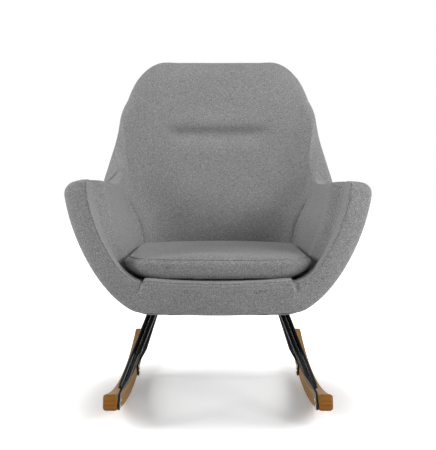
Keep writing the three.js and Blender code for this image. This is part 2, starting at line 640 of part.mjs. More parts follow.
function boltPlaces(sign) {
  const xs = [PLATE_INNER_X + BOLT_EDGE_DISTANCE, PLATE_OUTER_X - BOLT_EDGE_DISTANCE];
  const ys = [PLATE_FRONT_Y + BOLT_EDGE_DISTANCE, PLATE_BACK_Y - BOLT_EDGE_DISTANCE];
  return ys.flatMap((y) => xs.map((x) => new THREE.Vector3(sign * x, y, PLATE_TOP_Z - PLATE_THICKNESS)));
}

const boltHoles = SIDES.flatMap(([, sign]) => boltPlaces(sign)
  .map((p) => drill(p.clone().setZ(SHELL_BOTTOM_Z), UP, BOLT_DIAMETER + HOLE_CLEARANCE, 200)));

function addPlate(side, sign) {
  const ends = [sign * PLATE_INNER_X, sign * PLATE_OUTER_X].sort((a, b) => a - b);
  const outline = roundedRectangle(...ends, PLATE_FRONT_Y, PLATE_BACK_Y, PLATE_CORNER, 4);
  const plate = new THREE.ExtrudeGeometry(new THREE.Shape(outline),
    { depth: PLATE_THICKNESS, bevelEnabled: false });
  plate.translate(0, 0, PLATE_TOP_Z - PLATE_THICKNESS);
  addPiece(`mounting_plate_${side}`, cut(plate, boltHoles), BLACK_STEEL);
  boltPlaces(sign).forEach((p, i) => {
    const seat = p.clone().setZ(p.z - FIT);
    const length = RAIL_TOP_Z - seat.z - BOLT_HEAD_HEIGHT;
    addPiece(`plate_bolt_${side}_${i + 1}`,
      fastener(seat, UP, BOLT_DIAMETER, length, BOLT_HEAD_DIAMETER, BOLT_HEAD_HEIGHT), ZINC_STEEL);
  });
}

// Two rods, their tab and its screws. Returns the screws' holes in the rocker.
function addLegPair(end, side, sign, footY, headY) {
  const outward = new THREE.Vector3(sign, 0, 0);
  const line = legLine(sign, footY, headY);
  const places = screwPlaces(line);
  const screwHole = SCREW_DIAMETER + HOLE_CLEARANCE;
  const tabHoles = places.map((p) => drill(p, outward, screwHole, 4 * TAB_THICKNESS));
  addPiece(`${end}_rod_outer_${side}`, cut(rod(line, sign), [tongueSlot(line)]), BLACK_STEEL);
  addPiece(`${end}_rod_inner_${side}`, cut(rod(line, -sign), [tongueSlot(line), taperCut(line, sign)]),
    BLACK_STEEL);
  addPiece(`${end}_tab_${side}`, cut(tab(line), tabHoles), BLACK_STEEL);
  return places.map((p, i) => {
    const seat = p.clone().setX(p.x - sign * (TAB_THICKNESS / 2 + FIT));
    addPiece(`${end}_screw_${side}_${i + 1}`, fastener(seat, outward, SCREW_DIAMETER, SCREW_LENGTH,
      SCREW_HEAD_DIAMETER, SCREW_HEAD_HEIGHT), ZINC_STEEL);
    const depth = SCREW_LENGTH + SCREW_HOLE_SPARE;
    const middle = p.clone().setX(sign * (ROCKER_INNER_X + depth / 2 - TAB_THICKNESS));
    return drill(middle, outward, screwHole, depth);
  });
}

function addLegs() {
  for (const [side, sign] of SIDES) {
    addPlate(side, sign);
    const holes = [
      ...addLegPair('front', side, sign, FRONT_FOOT_Y, FRONT_HEAD_Y),
      ...addLegPair('rear', side, sign, REAR_FOOT_Y, REAR_HEAD_Y),
    ];
    addPiece(`rocker_${side}`, cut(rocker(sign), holes), LACQUERED_WOOD);
  }
}

// ---- Rockers: a softened rectangle swept along an arc ----

// The ends' rounded edges: length still to go to the tip, size of the section there.
const ROCKER_END = [[0, 0.7], [2.5, 0.88], [7, 1]];

function rocker(sign) {
  const pitch = 2 * Math.asin(ROCKER_FACET / 2 / ROCKER_RADIUS);
  const end = (ROCKER_FACETS_EACH_WAY + 0.5) * pitch;
  const section = roundedRectangle(0, ROCKER_WIDTH, 0, ROCKER_HEIGHT, ROCKER_EDGE, 3);
  const flatten = ROCKER_RADIUS * Math.cos(pitch / 2);
  const ringAt = (angle, size) => section.map((p) => {
    const across = ROCKER_WIDTH / 2 + (p.x - ROCKER_WIDTH / 2) * size;
    const high = ROCKER_HEIGHT / 2 + (p.y - ROCKER_HEIGHT / 2) * size;
    const radius = ROCKER_RADIUS - high;
    return new THREE.Vector3(sign * (ROCKER_INNER_X + across), ROCKER_LOWEST_Y + radius * Math.sin(angle),
      flatten - radius * Math.cos(angle));
  });
  const front = ROCKER_END.map(([toGo, size]) => ringAt(toGo / ROCKER_RADIUS - end, size));
  const back = ROCKER_END.map(([toGo, size]) => ringAt(end - toGo / ROCKER_RADIUS, size)).reverse();
  const middle = [];
  for (let i = 1; i <= 2 * ROCKER_FACETS_EACH_WAY; i++) middle.push(ringAt(i * pitch - end, 1));
  return loft([...front, ...middle, ...back]);
}

addShell(boltHoles);
addFrontBand();
addDeck(boltHoles);
addCushion();
addLegs();

// The origin is the middle of the chair's footprint, on the floor.
const extent = new THREE.Box3().setFromObject(chair);
chair.position.y = -(extent.min.y + extent.max.y) / 2;

export default chair;
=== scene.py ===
"""Rocking chair: an upholstered shell with winged arms on black rod legs and wooden rockers.

Everything is in metres, +Z up, and the sitter faces -Y. The shell's outer surface is one wall
that is swept round the seat, and each fabric piece is a part of that wall at its own depth.
"""

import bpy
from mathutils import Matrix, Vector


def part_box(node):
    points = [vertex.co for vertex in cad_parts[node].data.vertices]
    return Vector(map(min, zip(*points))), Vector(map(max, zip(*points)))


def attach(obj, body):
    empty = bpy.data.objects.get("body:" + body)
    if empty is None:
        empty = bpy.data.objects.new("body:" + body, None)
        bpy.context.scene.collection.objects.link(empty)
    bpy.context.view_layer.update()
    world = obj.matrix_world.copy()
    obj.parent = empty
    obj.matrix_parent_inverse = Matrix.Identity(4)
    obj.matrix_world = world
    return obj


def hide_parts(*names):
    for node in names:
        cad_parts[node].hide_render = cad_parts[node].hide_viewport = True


bl_info = {
    "name": "Upholstered Rocking Chair",
    "version": (1, 0, 0),
    "blender": (4, 5, 0),
    "location": "3D View > Sidebar > Rocking Chair",
    "description": "Dresses the frame of a rocking chair with fabric, steel and wood",
    "category": "Object",
}

import math

import bmesh
import bpy
import numpy as np
from bpy.props import FloatProperty, FloatVectorProperty, IntProperty, PointerProperty
from mathutils import Vector

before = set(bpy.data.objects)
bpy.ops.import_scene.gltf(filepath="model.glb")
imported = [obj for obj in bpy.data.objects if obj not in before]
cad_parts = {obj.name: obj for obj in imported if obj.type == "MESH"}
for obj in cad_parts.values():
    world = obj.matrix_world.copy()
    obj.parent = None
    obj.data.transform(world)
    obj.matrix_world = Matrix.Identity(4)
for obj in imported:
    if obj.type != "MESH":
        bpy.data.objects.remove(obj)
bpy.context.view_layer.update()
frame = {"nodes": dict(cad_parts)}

MM = 0.001
CLOTH_UV = "cloth"
GRAIN_UV = "grain"
UP = np.array([0, 0, 1.0])

# ---------------------------------------------------------------------------
# Nodes
# ---------------------------------------------------------------------------


def linear(hex_colour):
    """An sRGB hex colour as linear RGBA."""
    values = [int(hex_colour[i:i + 2], 16) / 255 for i in (1, 3, 5)]
    return (*(v / 12.92 if v <= 0.04045 else ((v + 0.055) / 1.055) ** 2.4 for v in values), 1.0)


def add_node(tree, kind, inputs=None, links=None, **settings):
    """Adds a node, sets its properties and inputs, and links sockets to those inputs."""
    made = tree.nodes.new(kind)
    for key, value in settings.items():
        setattr(made, key, value)
    for key, value in (inputs or {}).items():
        made.inputs[key].default_value = value
    for key, source in (links or {}).items():
        tree.links.new(source, made.inputs[key])
    return made


def maths(tree, operation, first, second=None):
    """A math node's result. Either side is a socket or a number."""
    inputs, links = {}, {}
    for key, value in enumerate((first, second)):
        if isinstance(value, (int, float)):
            inputs[key] = value
        elif value is not None:
            links[key] = value
    return add_node(tree, "ShaderNodeMath", inputs, links, operation=operation).outputs[0]


def ranged(tree, source, start=0.0, end=1.0, low=0.0, high=1.0, **settings):
    """`source` from start to end, drawn out from low to high."""
    inputs = {"From Min": start, "From Max": end, "To Min": low, "To Max": high}
    return add_node(tree, "ShaderNodeMapRange", inputs, {"Value": source}, **settings).outputs[0]


def seen_directly(tree):
    """1 for rays from the camera, and for those that come by way of metal or glass."""
    path = add_node(tree, "ShaderNodeLightPath").outputs
    mirrored = maths(tree, "MAXIMUM", path["Is Camera Ray"], path["Is Glossy Ray"])
    return maths(tree, "MAXIMUM", mirrored, path["Is Transmission Ray"])


# ---------------------------------------------------------------------------
# Finishes
# ---------------------------------------------------------------------------


class Finish:
    """A principled material in the making. Its textures lie on the object, or on a UV map."""

    def __init__(self, name, roughness, metallic=0.0, ior=1.5, uv=None, **shader):
        self.material = bpy.data.materials.new(name)
        self.material.use_nodes = True
        self.tree = self.material.node_tree
        self.tree.nodes.clear()
        self.surface = self.add("BsdfPrincipled",
                                {"Roughness": roughness, "Metallic": metallic, "IOR": ior})
        for key, value in shader.items():
            self.surface.inputs[key.replace("_", " ")].default_value = value
        self.add("OutputMaterial", links={"Surface": self.surface.outputs["BSDF"]})
        self.place = self.uv(uv) if uv else self.add("TexCoord").outputs["Object"]

    def add(self, kind, inputs=None, links=None, **settings):
        """A shader node in this material."""
        return add_node(self.tree, "ShaderNode" + kind, inputs, links, **settings)

    def uv(self, name):
        """The places of a UV map."""
        return self.add("UVMap", uv_map=name).outputs["UV"]

    def to(self, key, socket):
        """Links a socket to the shader."""
        self.tree.links.new(socket, self.surface.inputs[key])

    def noise(self, detail, pitch=None, stretched=None, **inputs):
        """Noise of one pitch, or of its own pitch along each axis, both in metres."""
        place = self.place
        if stretched:
            scale = [1 / part for part in stretched]
            place = self.add("Mapping", {"Scale": scale}, {"Vector": place}).outputs["Vector"]
        settings = {"Scale": 1 / pitch if pitch else 1.0, "Detail": detail, **inputs}
        return self.add("TexNoise", settings, {"Vector": place}).outputs["Fac"]

    def ramp(self, source, stops):
        """A colour ramp from (position, hex colour) stops."""
        made = self.add("ValToRGB", links={"Fac": source})
        elements = made.color_ramp.elements
        while len(elements) < len(stops):
            elements.new(0.5)
        for element, (position, colour) in zip(elements, stops):
            element.position = position
            element.color = linear(colour)
        return made.outputs["Color"]

    def coloured(self, source, stops):
        """Gives the shader its colour from a ramp."""
        self.to("Base Color", self.ramp(source, stops))

    def roughened(self, source, low, high):
        """Lets the roughness run from low to high."""
        self.to("Roughness", ranged(self.tree, source, low=low, high=high))

    def bumped(self, height, strength, distance):
        """Raises the surface by a height field, in metres."""
        bump = self.add("Bump", {"Strength": strength, "Distance": distance}, {"Height": height})
        self.to("Normal", bump.outputs["Normal"])


def melange_weave(name, dark, mid, light, thread=1.7 * MM, relief=0.3 * MM):
    """Polyester plain weave of mixed grey yarns.

    The eye sees short light and dark yarn ends in every direction, and a matt sheen at
    the edges. Real threads are about 0.9 mm. They are drawn 1.7 mm apart so that they show.
    """
    cloth = Finish(name, 0.92, ior=1.45, Sheen_Weight=0.2, Sheen_Roughness=0.5,
                   Specular_IOR_Level=0.2)
    tree, long = cloth.tree, thread / 0.45
    upright = cloth.noise(2.0, stretched=(thread, thread, long), Roughness=0.6)
    level = cloth.noise(2.0, stretched=(long, long, thread), Roughness=0.6)
    mixed = maths(tree, "ADD", upright, level)
    yarns = cloth.ramp(ranged(tree, mixed, 0.7, 1.3), ((0.0, dark), (0.5, mid), (1.0, light)))
    clouds = ranged(tree, cloth.noise(3.0, pitch=1 / 7), 0.3, 0.7, 0.95, 1.05)
    tinted = cloth.add("Mix", {"Factor": 1.0}, {"A": yarns, "B": clouds}, data_type="RGBA",
                       blend_type="MULTIPLY")
    cloth.to("Base Color", tinted.outputs["Result"])
    # Threads that pass over and under each other
    parts = cloth.add("SeparateXYZ", links={"Vector": cloth.uv(CLOTH_UV)})
    turns = math.pi / thread
    warp, weft = (maths(tree, "SINE", maths(tree, "MULTIPLY", parts.outputs[axis], turns))
                  for axis in ("X", "Y"))
    weave = maths(tree, "MULTIPLY", maths(tree, "MULTIPLY", warp, weft), 0.5)
    fuzz = maths(tree, "MULTIPLY", mixed, 1.2)
    cloth.bumped(maths(tree, "ADD", weave, fuzz), 0.5, relief)
    return cloth.material


def spun_thread(name, dark, light):
    """Bonded polyester sewing thread: tight, a little glossy, twisted every 1.5 mm."""
    thread = Finish(name, 0.6, Sheen_Weight=0.1)
    twist = thread.noise(1.0, pitch=1.5 * MM)
    thread.coloured(twist, ((0.35, dark), (0.65, light)))
    thread.bumped(twist, 0.4, 0.2 * MM)
    return thread.material


def powder_coat(name):
    """Black gloss powder coat on steel rod: deep black with a faint orange peel of 3 mm."""
    coat = Finish(name, 0.1, Specular_IOR_Level=0.22)
    peel = coat.noise(2.0, pitch=3 * MM)
    coat.coloured(peel, ((0.3, "#060606"), (0.7, "#0c0c0c")))
    coat.roughened(peel, 0.07, 0.13)
    coat.bumped(peel, 0.04, 0.1 * MM)
    return coat.material


def zinc_plate(name):
    """Zinc plated steel: pale grey metal with a fine satin from the plating bath."""
    zinc = Finish(name, 0.32, metallic=1.0)
    satin = zinc.noise(3.0, pitch=1.2 * MM)
    zinc.coloured(satin, ((0.3, "#9b9ea4"), (0.7, "#c2c5ca")))
    zinc.roughened(satin, 0.25, 0.42)
    return zinc.material


def lacquered_beech(name, *stops):
    """Bent beech under clear satin lacquer: warm tan, fine lengthwise grain, short flecks."""
    beech = Finish(name, 0.45, uv=GRAIN_UV, Specular_IOR_Level=0.05, Coat_Weight=0.05,
                   Coat_Roughness=0.25)
    # Year rings show as 5 mm wide bands, 400 mm long
    rings = beech.noise(3.0, stretched=(0.4, 5 * MM, 5 * MM), Distortion=0.6)
    # Pores are 1.2 mm wide and 12 mm long, drawn wider than the real 0.3 mm
    pores = beech.noise(2.0, stretched=(12 * MM, 1.2 * MM, 1.2 * MM))
    grain = beech.add("Mix", {"Factor": 0.35}, {"A": rings, "B": pores}, data_type="FLOAT")
    beech.coloured(grain.outputs["Result"], stops)
    beech.bumped(pores, 0.25, 0.15 * MM)
    return beech.material


def plain_board(name):
    """Raw birch plywood: pale face veneer with faint streaks."""
    board = Finish(name, 0.75)
    streaks = board.noise(4.0, stretched=(6 * MM, 0.15, 6 * MM))
    board.coloured(streaks, ((0.3, "#b9966a"), (0.7, "#d6bb90")))
    return board.material


def felted_lining(name):
    """Black non-woven lining: pressed fibres in small dimples 3 mm apart."""
    felt = Finish(name, 0.9, Sheen_Weight=0.15)
    felt.coloured(felt.noise(4.0, pitch=1.5 * MM), ((0.3, "#141416"), (0.7, "#2a2a2d")))
    dimples = felt.add("TexVoronoi", {"Scale": 1 / (3 * MM), "Randomness": 0.3},
                       {"Vector": felt.place})
    felt.bumped(dimples.outputs["Distance"], 0.5, 0.4 * MM)
    return felt.material


MATERIALS = {}


def build_materials():
    """Every finish of the chair, made once."""
    MATERIALS.update(
        upholstery=melange_weave("melange_polyester_weave", "#676767", "#8a8a8a", "#adadad"),
        thread=spun_thread("grey_sewing_thread", "#8e8e8e", "#b4b4b4"),
        powder_coat=powder_coat("black_powder_coated_steel"),
        zinc=zinc_plate("zinc_plated_steel"),
        beech=lacquered_beech("lacquered_bent_beech", (0.3, "#704a16"), (0.5, "#966a2a"),
                              (0.72, "#b28442")),
        end_grain=lacquered_beech("lacquered_beech_end_grain", (0.3, "#5f3a14"),
                                  (0.5, "#8a5a28"), (0.72, "#a9773c")),
        plywood=plain_board("raw_birch_plywood"),
        lining=felted_lining("non_woven_lining"))


# ---------------------------------------------------------------------------
# The shell's outer surface
# ---------------------------------------------------------------------------

# Sizes of the shell in mm. Y runs from the front to the back, measured from the seat's zero,
# which lies 282 mm behind the front edge of the base.
BACK_TOP_Z = 968
BACK_TOP_Y = 405
HEAD_HALF_WIDTH = 243
ARM_HALF_WIDTH = 373
SADDLE_HALF_WIDTH = ARM_HALF_WIDTH - 23
SADDLE_Z = 595
ARM_TIP_Z = 602
ARM_TIP_Y = -262
SHELL_BOTTOM_Z = 282
BASE_HALF_WIDTH = 190
BASE_FRONT_HALF_WIDTH = 160
BASE_BACK_Y = 172
BASE_FRONT_Y = -282
HEEL_HALF_WIDTH = 270
HEEL_BACK_Y = 300
FLANGE_WIDTH = 72
COVER_THICKNESS = 5
LAYER_GAP = 0.8
FRAME_THICKNESS = 12
WALL_THICKNESS = 62
RIM_ROUNDING = 24
FRAME_BELOW_RIM = 32
PAD_START = 0.2
PAD_FULL = 0.55
PAD_THINNING = 18
STATIONS = 9
PAD_CORNER = 6.5 / STATIONS

ZERO_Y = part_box("front_rail")[0].y / MM - BASE_FRONT_Y  # the seat's zero in the frame


def back_edge_x(share):
    """Half width of the back's edge between the shoulders and the saddle."""
    return HEAD_HALF_WIDTH + (SADDLE_HALF_WIDTH - HEAD_HALF_WIDTH) * share


def offset_row(x, y, steps):
    """Points that lie `steps` from one corner of the shell."""
    return [(x + dx, y + dy) for dx, dy in steps]


LIP_X = BASE_HALF_WIDTH - FLANGE_WIDTH
LIP_Y = BASE_BACK_Y - FLANGE_WIDTH
NET = {
    "lip": [(0, LIP_Y)] + offset_row(LIP_X, LIP_Y, (
        (-80, 0), (-52, -2), (-30, -9), (-15, -24), (-6, -46), (-1, -82), (0, -158), (0, -265)))
    + [(LIP_X, BASE_FRONT_Y)],
    "base": [(0, BASE_BACK_Y)] + offset_row(BASE_HALF_WIDTH, BASE_BACK_Y, (
        (-115, -1), (-65, -6), (-30, -22), (-10, -50), (-2, -86), (0, -125), (0, -212), (-2, -327)))
    + [(BASE_FRONT_HALF_WIDTH, BASE_FRONT_Y)],
    "heel": [(0, HEEL_BACK_Y)] + offset_row(HEEL_HALF_WIDTH, HEEL_BACK_Y, (
        (-178, -2), (-113, -10), (-58, -32), (-18, -66), (2, -112), (7, -172), (4, -250),
        (2, -420)))
    + [(HEEL_HALF_WIDTH, BASE_FRONT_Y)],
    "belly": [(0, BACK_TOP_Y - 87, SADDLE_Z - 18), (106, BACK_TOP_Y - 89, SADDLE_Z - 18),
              (178, BACK_TOP_Y - 97, SADDLE_Z - 23), (243, BACK_TOP_Y - 120, SADDLE_Z - 38),
              (ARM_HALF_WIDTH - 85, BACK_TOP_Y - 157, SADDLE_Z - 66),
              (ARM_HALF_WIDTH - 45, BACK_TOP_Y - 203, SADDLE_Z - 93),
              (ARM_HALF_WIDTH - 27, BACK_TOP_Y - 261, SADDLE_Z - 116),
              (ARM_HALF_WIDTH - 27, ARM_TIP_Y + 332, SADDLE_Z - 132),
              (ARM_HALF_WIDTH - 19, ARM_TIP_Y + 172, SADDLE_Z - 134),
              (ARM_HALF_WIDTH - 3, ARM_TIP_Y - 12, ARM_TIP_Z - 118)],
    "rim": [(0, BACK_TOP_Y, BACK_TOP_Z), (HEAD_HALF_WIDTH - 120, BACK_TOP_Y - 1, BACK_TOP_Z),
            (HEAD_HALF_WIDTH - 49, BACK_TOP_Y - 4, BACK_TOP_Z - 3),
            (HEAD_HALF_WIDTH + 6, BACK_TOP_Y - 16, BACK_TOP_Z - 44),
            (back_edge_x(0.38) + 9, BACK_TOP_Y - 45, BACK_TOP_Z - 130),
            (back_edge_x(0.74) + 4, BACK_TOP_Y - 92, BACK_TOP_Z - 230),
            (back_edge_x(0.94), BACK_TOP_Y - 175, SADDLE_Z + 54),
            (SADDLE_HALF_WIDTH, ARM_TIP_Y + 387, SADDLE_Z),
            (ARM_HALF_WIDTH - 14, ARM_TIP_Y + 197, SADDLE_Z),
            (ARM_HALF_WIDTH, ARM_TIP_Y, ARM_TIP_Z)],
}


class NetCurve:
    """A centripetal curve through one row of the net, mirrored past the middle of the back."""

    def __init__(self, points):
        known = [(*p, SHELL_BOTTOM_Z)[:3] for p in points]
        mirrored = [(-x, y, z) for x, y, z in known[2:0:-1]]
        inner = np.array(mirrored + known, float)
        self.points = np.vstack([2 * inner[0] - inner[1], inner, 2 * inner[-1] - inner[-2]])
        self.spans = len(inner) - 1

    def at(self, around):
        """Points for an array of places round the shell, from -1 over 0 to 1."""
        around = np.asarray(around, float)
        t = (np.abs(around) * STATIONS + 2) / (STATIONS + 2) * self.spans
        span = np.clip(np.floor(t).astype(int), 0, self.spans - 1)
        share = (t - span)[..., None]
        p0, p1, p2, p3 = (self.points[span + k] for k in range(4))
        d0, d1, d2 = (np.sqrt(np.linalg.norm(b - a, axis=-1))[..., None]
                      for a, b in ((p0, p1), (p1, p2), (p2, p3)))
        t1 = ((p1 - p0) / d0 - (p2 - p0) / (d0 + d1) + (p2 - p1) / d1) * d1
        t2 = ((p2 - p1) / d1 - (p3 - p1) / (d1 + d2) + (p3 - p2) / d2) * d1
        c2 = -3 * p1 + 3 * p2 - 2 * t1 - t2
        c3 = 2 * p1 - 2 * p2 + t1 + t2
        point = p1 + t1 * share + c2 * share ** 2 + c3 * share ** 3
        point[..., 0] *= np.where(around < 0, -1, 1)
        return point


NET_CURVES = {name: NetCurve(points) for name, points in NET.items()}
WALL_ROWS = ("base", "heel", "belly", "rim")


def wall_at(around, up):
    """Points of the outer surface, with `up` from 0 at the base to 1 at the rim."""
    a, b, c, d = (NET_CURVES[n].at(around) for n in WALL_ROWS)
    u = np.asarray(up, float)[..., None]
    return a * (1 - u) ** 3 + 3 * b * u * (1 - u) ** 2 + 3 * c * u ** 2 * (1 - u) + d * u ** 3


def wall_rise(around, up):
    """Direction of the wall's curve towards the rim."""
    a, b, c, d = (NET_CURVES[n].at(around) for n in WALL_ROWS)
    u = np.maximum(np.asarray(up, float), 1e-3)[..., None]
    return unit((b - a) * (1 - u) ** 2 + 2 * (c - b) * u * (1 - u) + (d - c) * u ** 2)


def unit(vectors):
    """The same directions, with length 1."""
    return vectors / np.linalg.norm(vectors, axis=-1, keepdims=True)


def wall_point(around, up, depth):
    """Points `depth` mm in from the outer surface. Below 0, `up` runs over the flat flange."""
    around, up, depth = np.broadcast_arrays(*(np.asarray(v, float) for v in (around, up, depth)))
    step = 1e-3
    held = np.maximum(up, 0)
    along = (wall_at(np.minimum(around + step, 1), held)
             - wall_at(np.maximum(around - step, -1), held))
    inward = unit(np.cross(along, wall_rise(around, held)))
    inward = np.where((up <= 0)[..., None], UP, inward)
    base, lip = NET_CURVES["base"].at(around), NET_CURVES["lip"].at(around)
    flat = base + (lip - base) * -np.minimum(up, 0)[..., None]
    surface = np.where((up < 0)[..., None], flat, wall_at(around, held))
    return surface + inward * depth[..., None]


def below_rim(around, drop):
    """The wall's parameter `drop` mm below the rim."""
    rim, belly = NET_CURVES["rim"].at(around), NET_CURVES["belly"].at(around)
    return 1 - drop / (3 * np.linalg.norm(rim - belly, axis=-1))


def distance_to_seam(around, up, corner):
    """Distance in mm along the wall from a seam at `corner`, on the same side of the shell."""
    there = wall_at(np.where(around < 0, -1, 1) * corner * np.ones_like(up), up)
    return np.linalg.norm(wall_at(around, up) - there, axis=-1)


def to_frame(points):
    """From the shell's mm to metres in the frame."""
    placed = np.array(points, float)
    placed[..., 1] += ZERO_Y
    return placed * MM


def smooth(x, start, end):
    """0 before start, 1 after end, with soft ends."""
    t = np.clip((np.asarray(x, float) - start) / (end - start), 0, 1)
    return t * t * (3 - 2 * t)


def bell(x, middle, width):
    """A soft bump of height 1."""
    return np.exp(-(((np.asarray(x, float) - middle) / width) ** 2))


# ---------------------------------------------------------------------------
# Meshes
# ---------------------------------------------------------------------------


def linked(name, data):
    """A new object for a mesh, a lamp or a camera, at the origin."""
    made = bpy.data.objects.new(name, data)
    bpy.context.scene.collection.objects.link(made)
    return made


def mesh_object(name, vertices, faces, material, uvs=None):
    """A smooth-shaded object from points, faces and one UV pair per face corner."""
    mesh = bpy.data.meshes.new(name)
    mesh.from_pydata([tuple(v) for v in vertices], [], faces)
    mesh.materials.append(material)
    if uvs is not None:
        layer = mesh.uv_layers.new(name=CLOTH_UV)
        layer.data.foreach_set("uv", np.asarray(uvs, np.float32).ravel())
    mesh.shade_smooth()
    mesh.update()
    made = linked(name, mesh)
    outward(made)
    return made


def outward(made):
    """Turns every face outwards."""
    work = bmesh.new()
    work.from_mesh(made.data)
    bmesh.ops.recalc_face_normals(work, faces=work.faces)
    work.to_mesh(made.data)
    work.free()
    made.data.update()


def lengths_along(grid, axis, middle=0):
    """Running length over a grid of points along one axis, zero at `middle`."""
    steps = np.linalg.norm(np.diff(grid, axis=axis), axis=-1)
    total = np.concatenate([np.zeros_like(np.take(steps, [0], axis)), np.cumsum(steps, axis)], axis)
    return total - np.take(total, [middle], axis)


def quads_between(rows, count, closed=False):
    """Quads that join rings of `count` points, and the last ring to the first if closed."""
    return [(r * count + i, r * count + (i + 1) % count,
             (r + 1) % rows * count + (i + 1) % count, (r + 1) % rows * count + i)
            for r in range(rows if closed else rows - 1) for i in range(count)]


def ends_of(rows, count):
    """The two faces that close a run of rings."""
    return [tuple(range(count - 1, -1, -1)), tuple(range((rows - 1) * count, rows * count))]


def sweep(name, grid, material, middle=0):
    """Skins a grid of points (stations, section) into a solid with cloth UVs in metres."""
    stations, count = grid.shape[:2]
    wrapped = np.concatenate([grid, grid[:, :1]], 1)
    cloth = np.stack([lengths_along(wrapped, 0, middle), lengths_along(wrapped, 1)], -1)
    uvs = [cloth[corner] for r in range(stations - 1) for i in range(count)
           for corner in ((r, i), (r, i + 1), (r + 1, i + 1), (r + 1, i))]
    for end, way in ((grid[0], -1), (grid[-1], 1)):
        uvs.extend((end - end.mean(0))[::way, 1:])
    faces = quads_between(stations, count) + ends_of(stations, count)
    return mesh_object(name, grid.reshape(-1, 3), faces, material, uvs)


def smoothed_path(points, count):
    """`count` points along a smooth curve through `points`."""
    pts = np.array(points, float)
    pts = np.vstack([2 * pts[0] - pts[1], pts, 2 * pts[-1] - pts[-2]])
    t = np.linspace(0, len(points) - 1, count)
    span = np.clip(t.astype(int), 0, len(points) - 2)
    share = (t - span)[:, None]
    p0, p1, p2, p3 = (pts[span + k] for k in range(4))
    return 0.5 * (2 * p1 + (p2 - p0) * share + (2 * p0 - 5 * p1 + 4 * p2 - p3) * share ** 2
                  + (3 * p1 - p0 - 3 * p2 + p3) * share ** 3)


def rounded_outline(half, y0, y1, corner, corner_steps, side_steps):
    """A rounded rectangle, with points along its straight sides too."""
    right, back, front = half - corner, y1 - corner, y0 + corner
    centres = np.array([(right, back), (-right, back), (-right, front), (right, front)])
    points = []
    for quarter, centre in enumerate(centres):
        for i in range(corner_steps + 1):
            angle = (quarter + i / corner_steps) * math.pi / 2
            spoke = corner * np.array([math.cos(angle), math.sin(angle)])
            points.append(centre + spoke)
        last, following = centre + spoke, centres[(quarter + 1) % 4] + spoke
        points.extend(last + (following - last) * k / side_steps for k in range(1, side_steps))
    return points


def box_uvs(made):
    """Cloth UVs in metres from the side that each face looks to."""
    mesh = made.data
    layer = mesh.uv_layers.get(CLOTH_UV) or mesh.uv_layers.new(name=CLOTH_UV)
    corners = [(mesh.vertices[v].co, face.normal) for face in mesh.polygons for v in face.vertices]
    uvs = []
    for point, normal in corners:
        flat = abs(normal.z) > 0.6
        sideways = not flat and abs(normal.x) > abs(normal.y)
        uvs.append((point.y if sideways else point.x, point.y if flat else point.z))
    layer.data.foreach_set("uv", np.array(uvs, np.float32).ravel())


def sharpen(made, degrees=30):
    """Keeps hard edges hard under smooth shading."""
    work = bmesh.new()
    work.from_mesh(made.data)
    for edge in work.edges:
        edge.smooth = (len(edge.link_faces) == 2
                       and edge.calc_face_angle(0) < math.radians(degrees))
    work.to_mesh(made.data)
    work.free()


def applied(context, made):
    """Turns the modifiers' result into the mesh itself."""
    graph = context.evaluated_depsgraph_get()
    old = made.data
    mesh = bpy.data.meshes.new_from_object(made.evaluated_get(graph))
    made.modifiers.clear()
    made.data = mesh
    mesh.name = made.name
    bpy.data.meshes.remove(old)


def soften(made, width):
    """Rounds the hard edges of a piece."""
    bevel = made.modifiers.new("soft_edges", "BEVEL")
    bevel.width = width
    bevel.segments = 3
    bevel.limit_method = "ANGLE"
    bevel.angle_limit = math.radians(40)
    applied(bpy.context, made)
    made.data.shade_smooth()
    sharpen(made, 50)


def repaint(nodes, material):
    """Gives CAD nodes a material. Their meshes stay as they are."""
    for name in nodes:
        made = frame["nodes"][name]
        made.data.materials.clear()
        made.data.materials.append(material)


def dress(made, body, slot, *nodes):
    """Files a piece under its body and hides the CAD nodes that it replaces. Its slot is not used.
    """
    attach(made, body)
    if nodes:
        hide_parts(*nodes)


# ---------------------------------------------------------------------------
# Settings
# ---------------------------------------------------------------------------


def metres(name, description, default):
    """A setting in metres."""
    return FloatProperty(name=name, description=description, default=default, unit="LENGTH")


class RockingChairShell(bpy.types.PropertyGroup):
    """Sizes of the upholstery."""

    around: IntProperty(name="Stations", description="Rows of faces round the whole shell",
                        default=240, min=60)
    tuck_height: metres("Tuck height", "Height of the head tuck above the floor", 0.746)
    tuck_half_width: metres("Tuck half width", "Half the length of the head tuck", 0.168)
    tuck_depth: metres("Tuck depth", "How far the tuck is drawn in", 0.010)
    seam_dip: metres("Seam dip", "How far the back's edge lies under the arm's", 0.020)
    arm_crown: metres("Arm crown", "How far the padding rises at the arm's front", 0.011)
    ear_height: metres("Ear height", "How far the arm's ear stands up at the back", 0.009)
    strip_depth: metres("Strip depth", "How far the arm's front strip falls back", 0.010)
    cushion_pressure: FloatProperty(name="Cushion pressure", default=0.3, min=0.0,
                                    description="Pressure of the cushion's filling")


class RockingChairStage(bpy.types.PropertyGroup):
    """The floor, the lights and the camera."""

    camera_distance: metres("Camera distance", "From the middle of the footprint", 2.06)
    camera_height: metres("Camera height", "Above the floor", 0.657)
    camera_tilt: FloatProperty(name="Camera tilt", description="Downwards from the horizon",
                               default=math.radians(5.1), subtype="ANGLE")
    lens: FloatProperty(name="Lens", description="Focal length for a 36 mm high picture",
                        default=57.84)
    floor_colour: FloatVectorProperty(name="Floor", description="Colour of the floor",
                                      default=linear("#f2f2f2")[:3], subtype="COLOR", size=3)


# ---------------------------------------------------------------------------
# Upholstery
# ---------------------------------------------------------------------------

SIDES = (("left", 1), ("right", -1))
CROWN_SHARES = {"left": 0.45, "right": 1.0}  # the left arm's padding stands less high in front
SEAM_SLANT = 0.2
SEAM_GAP = 0.0014
SADDLE_AROUND = 0.774  # the saddle of the arm's rim


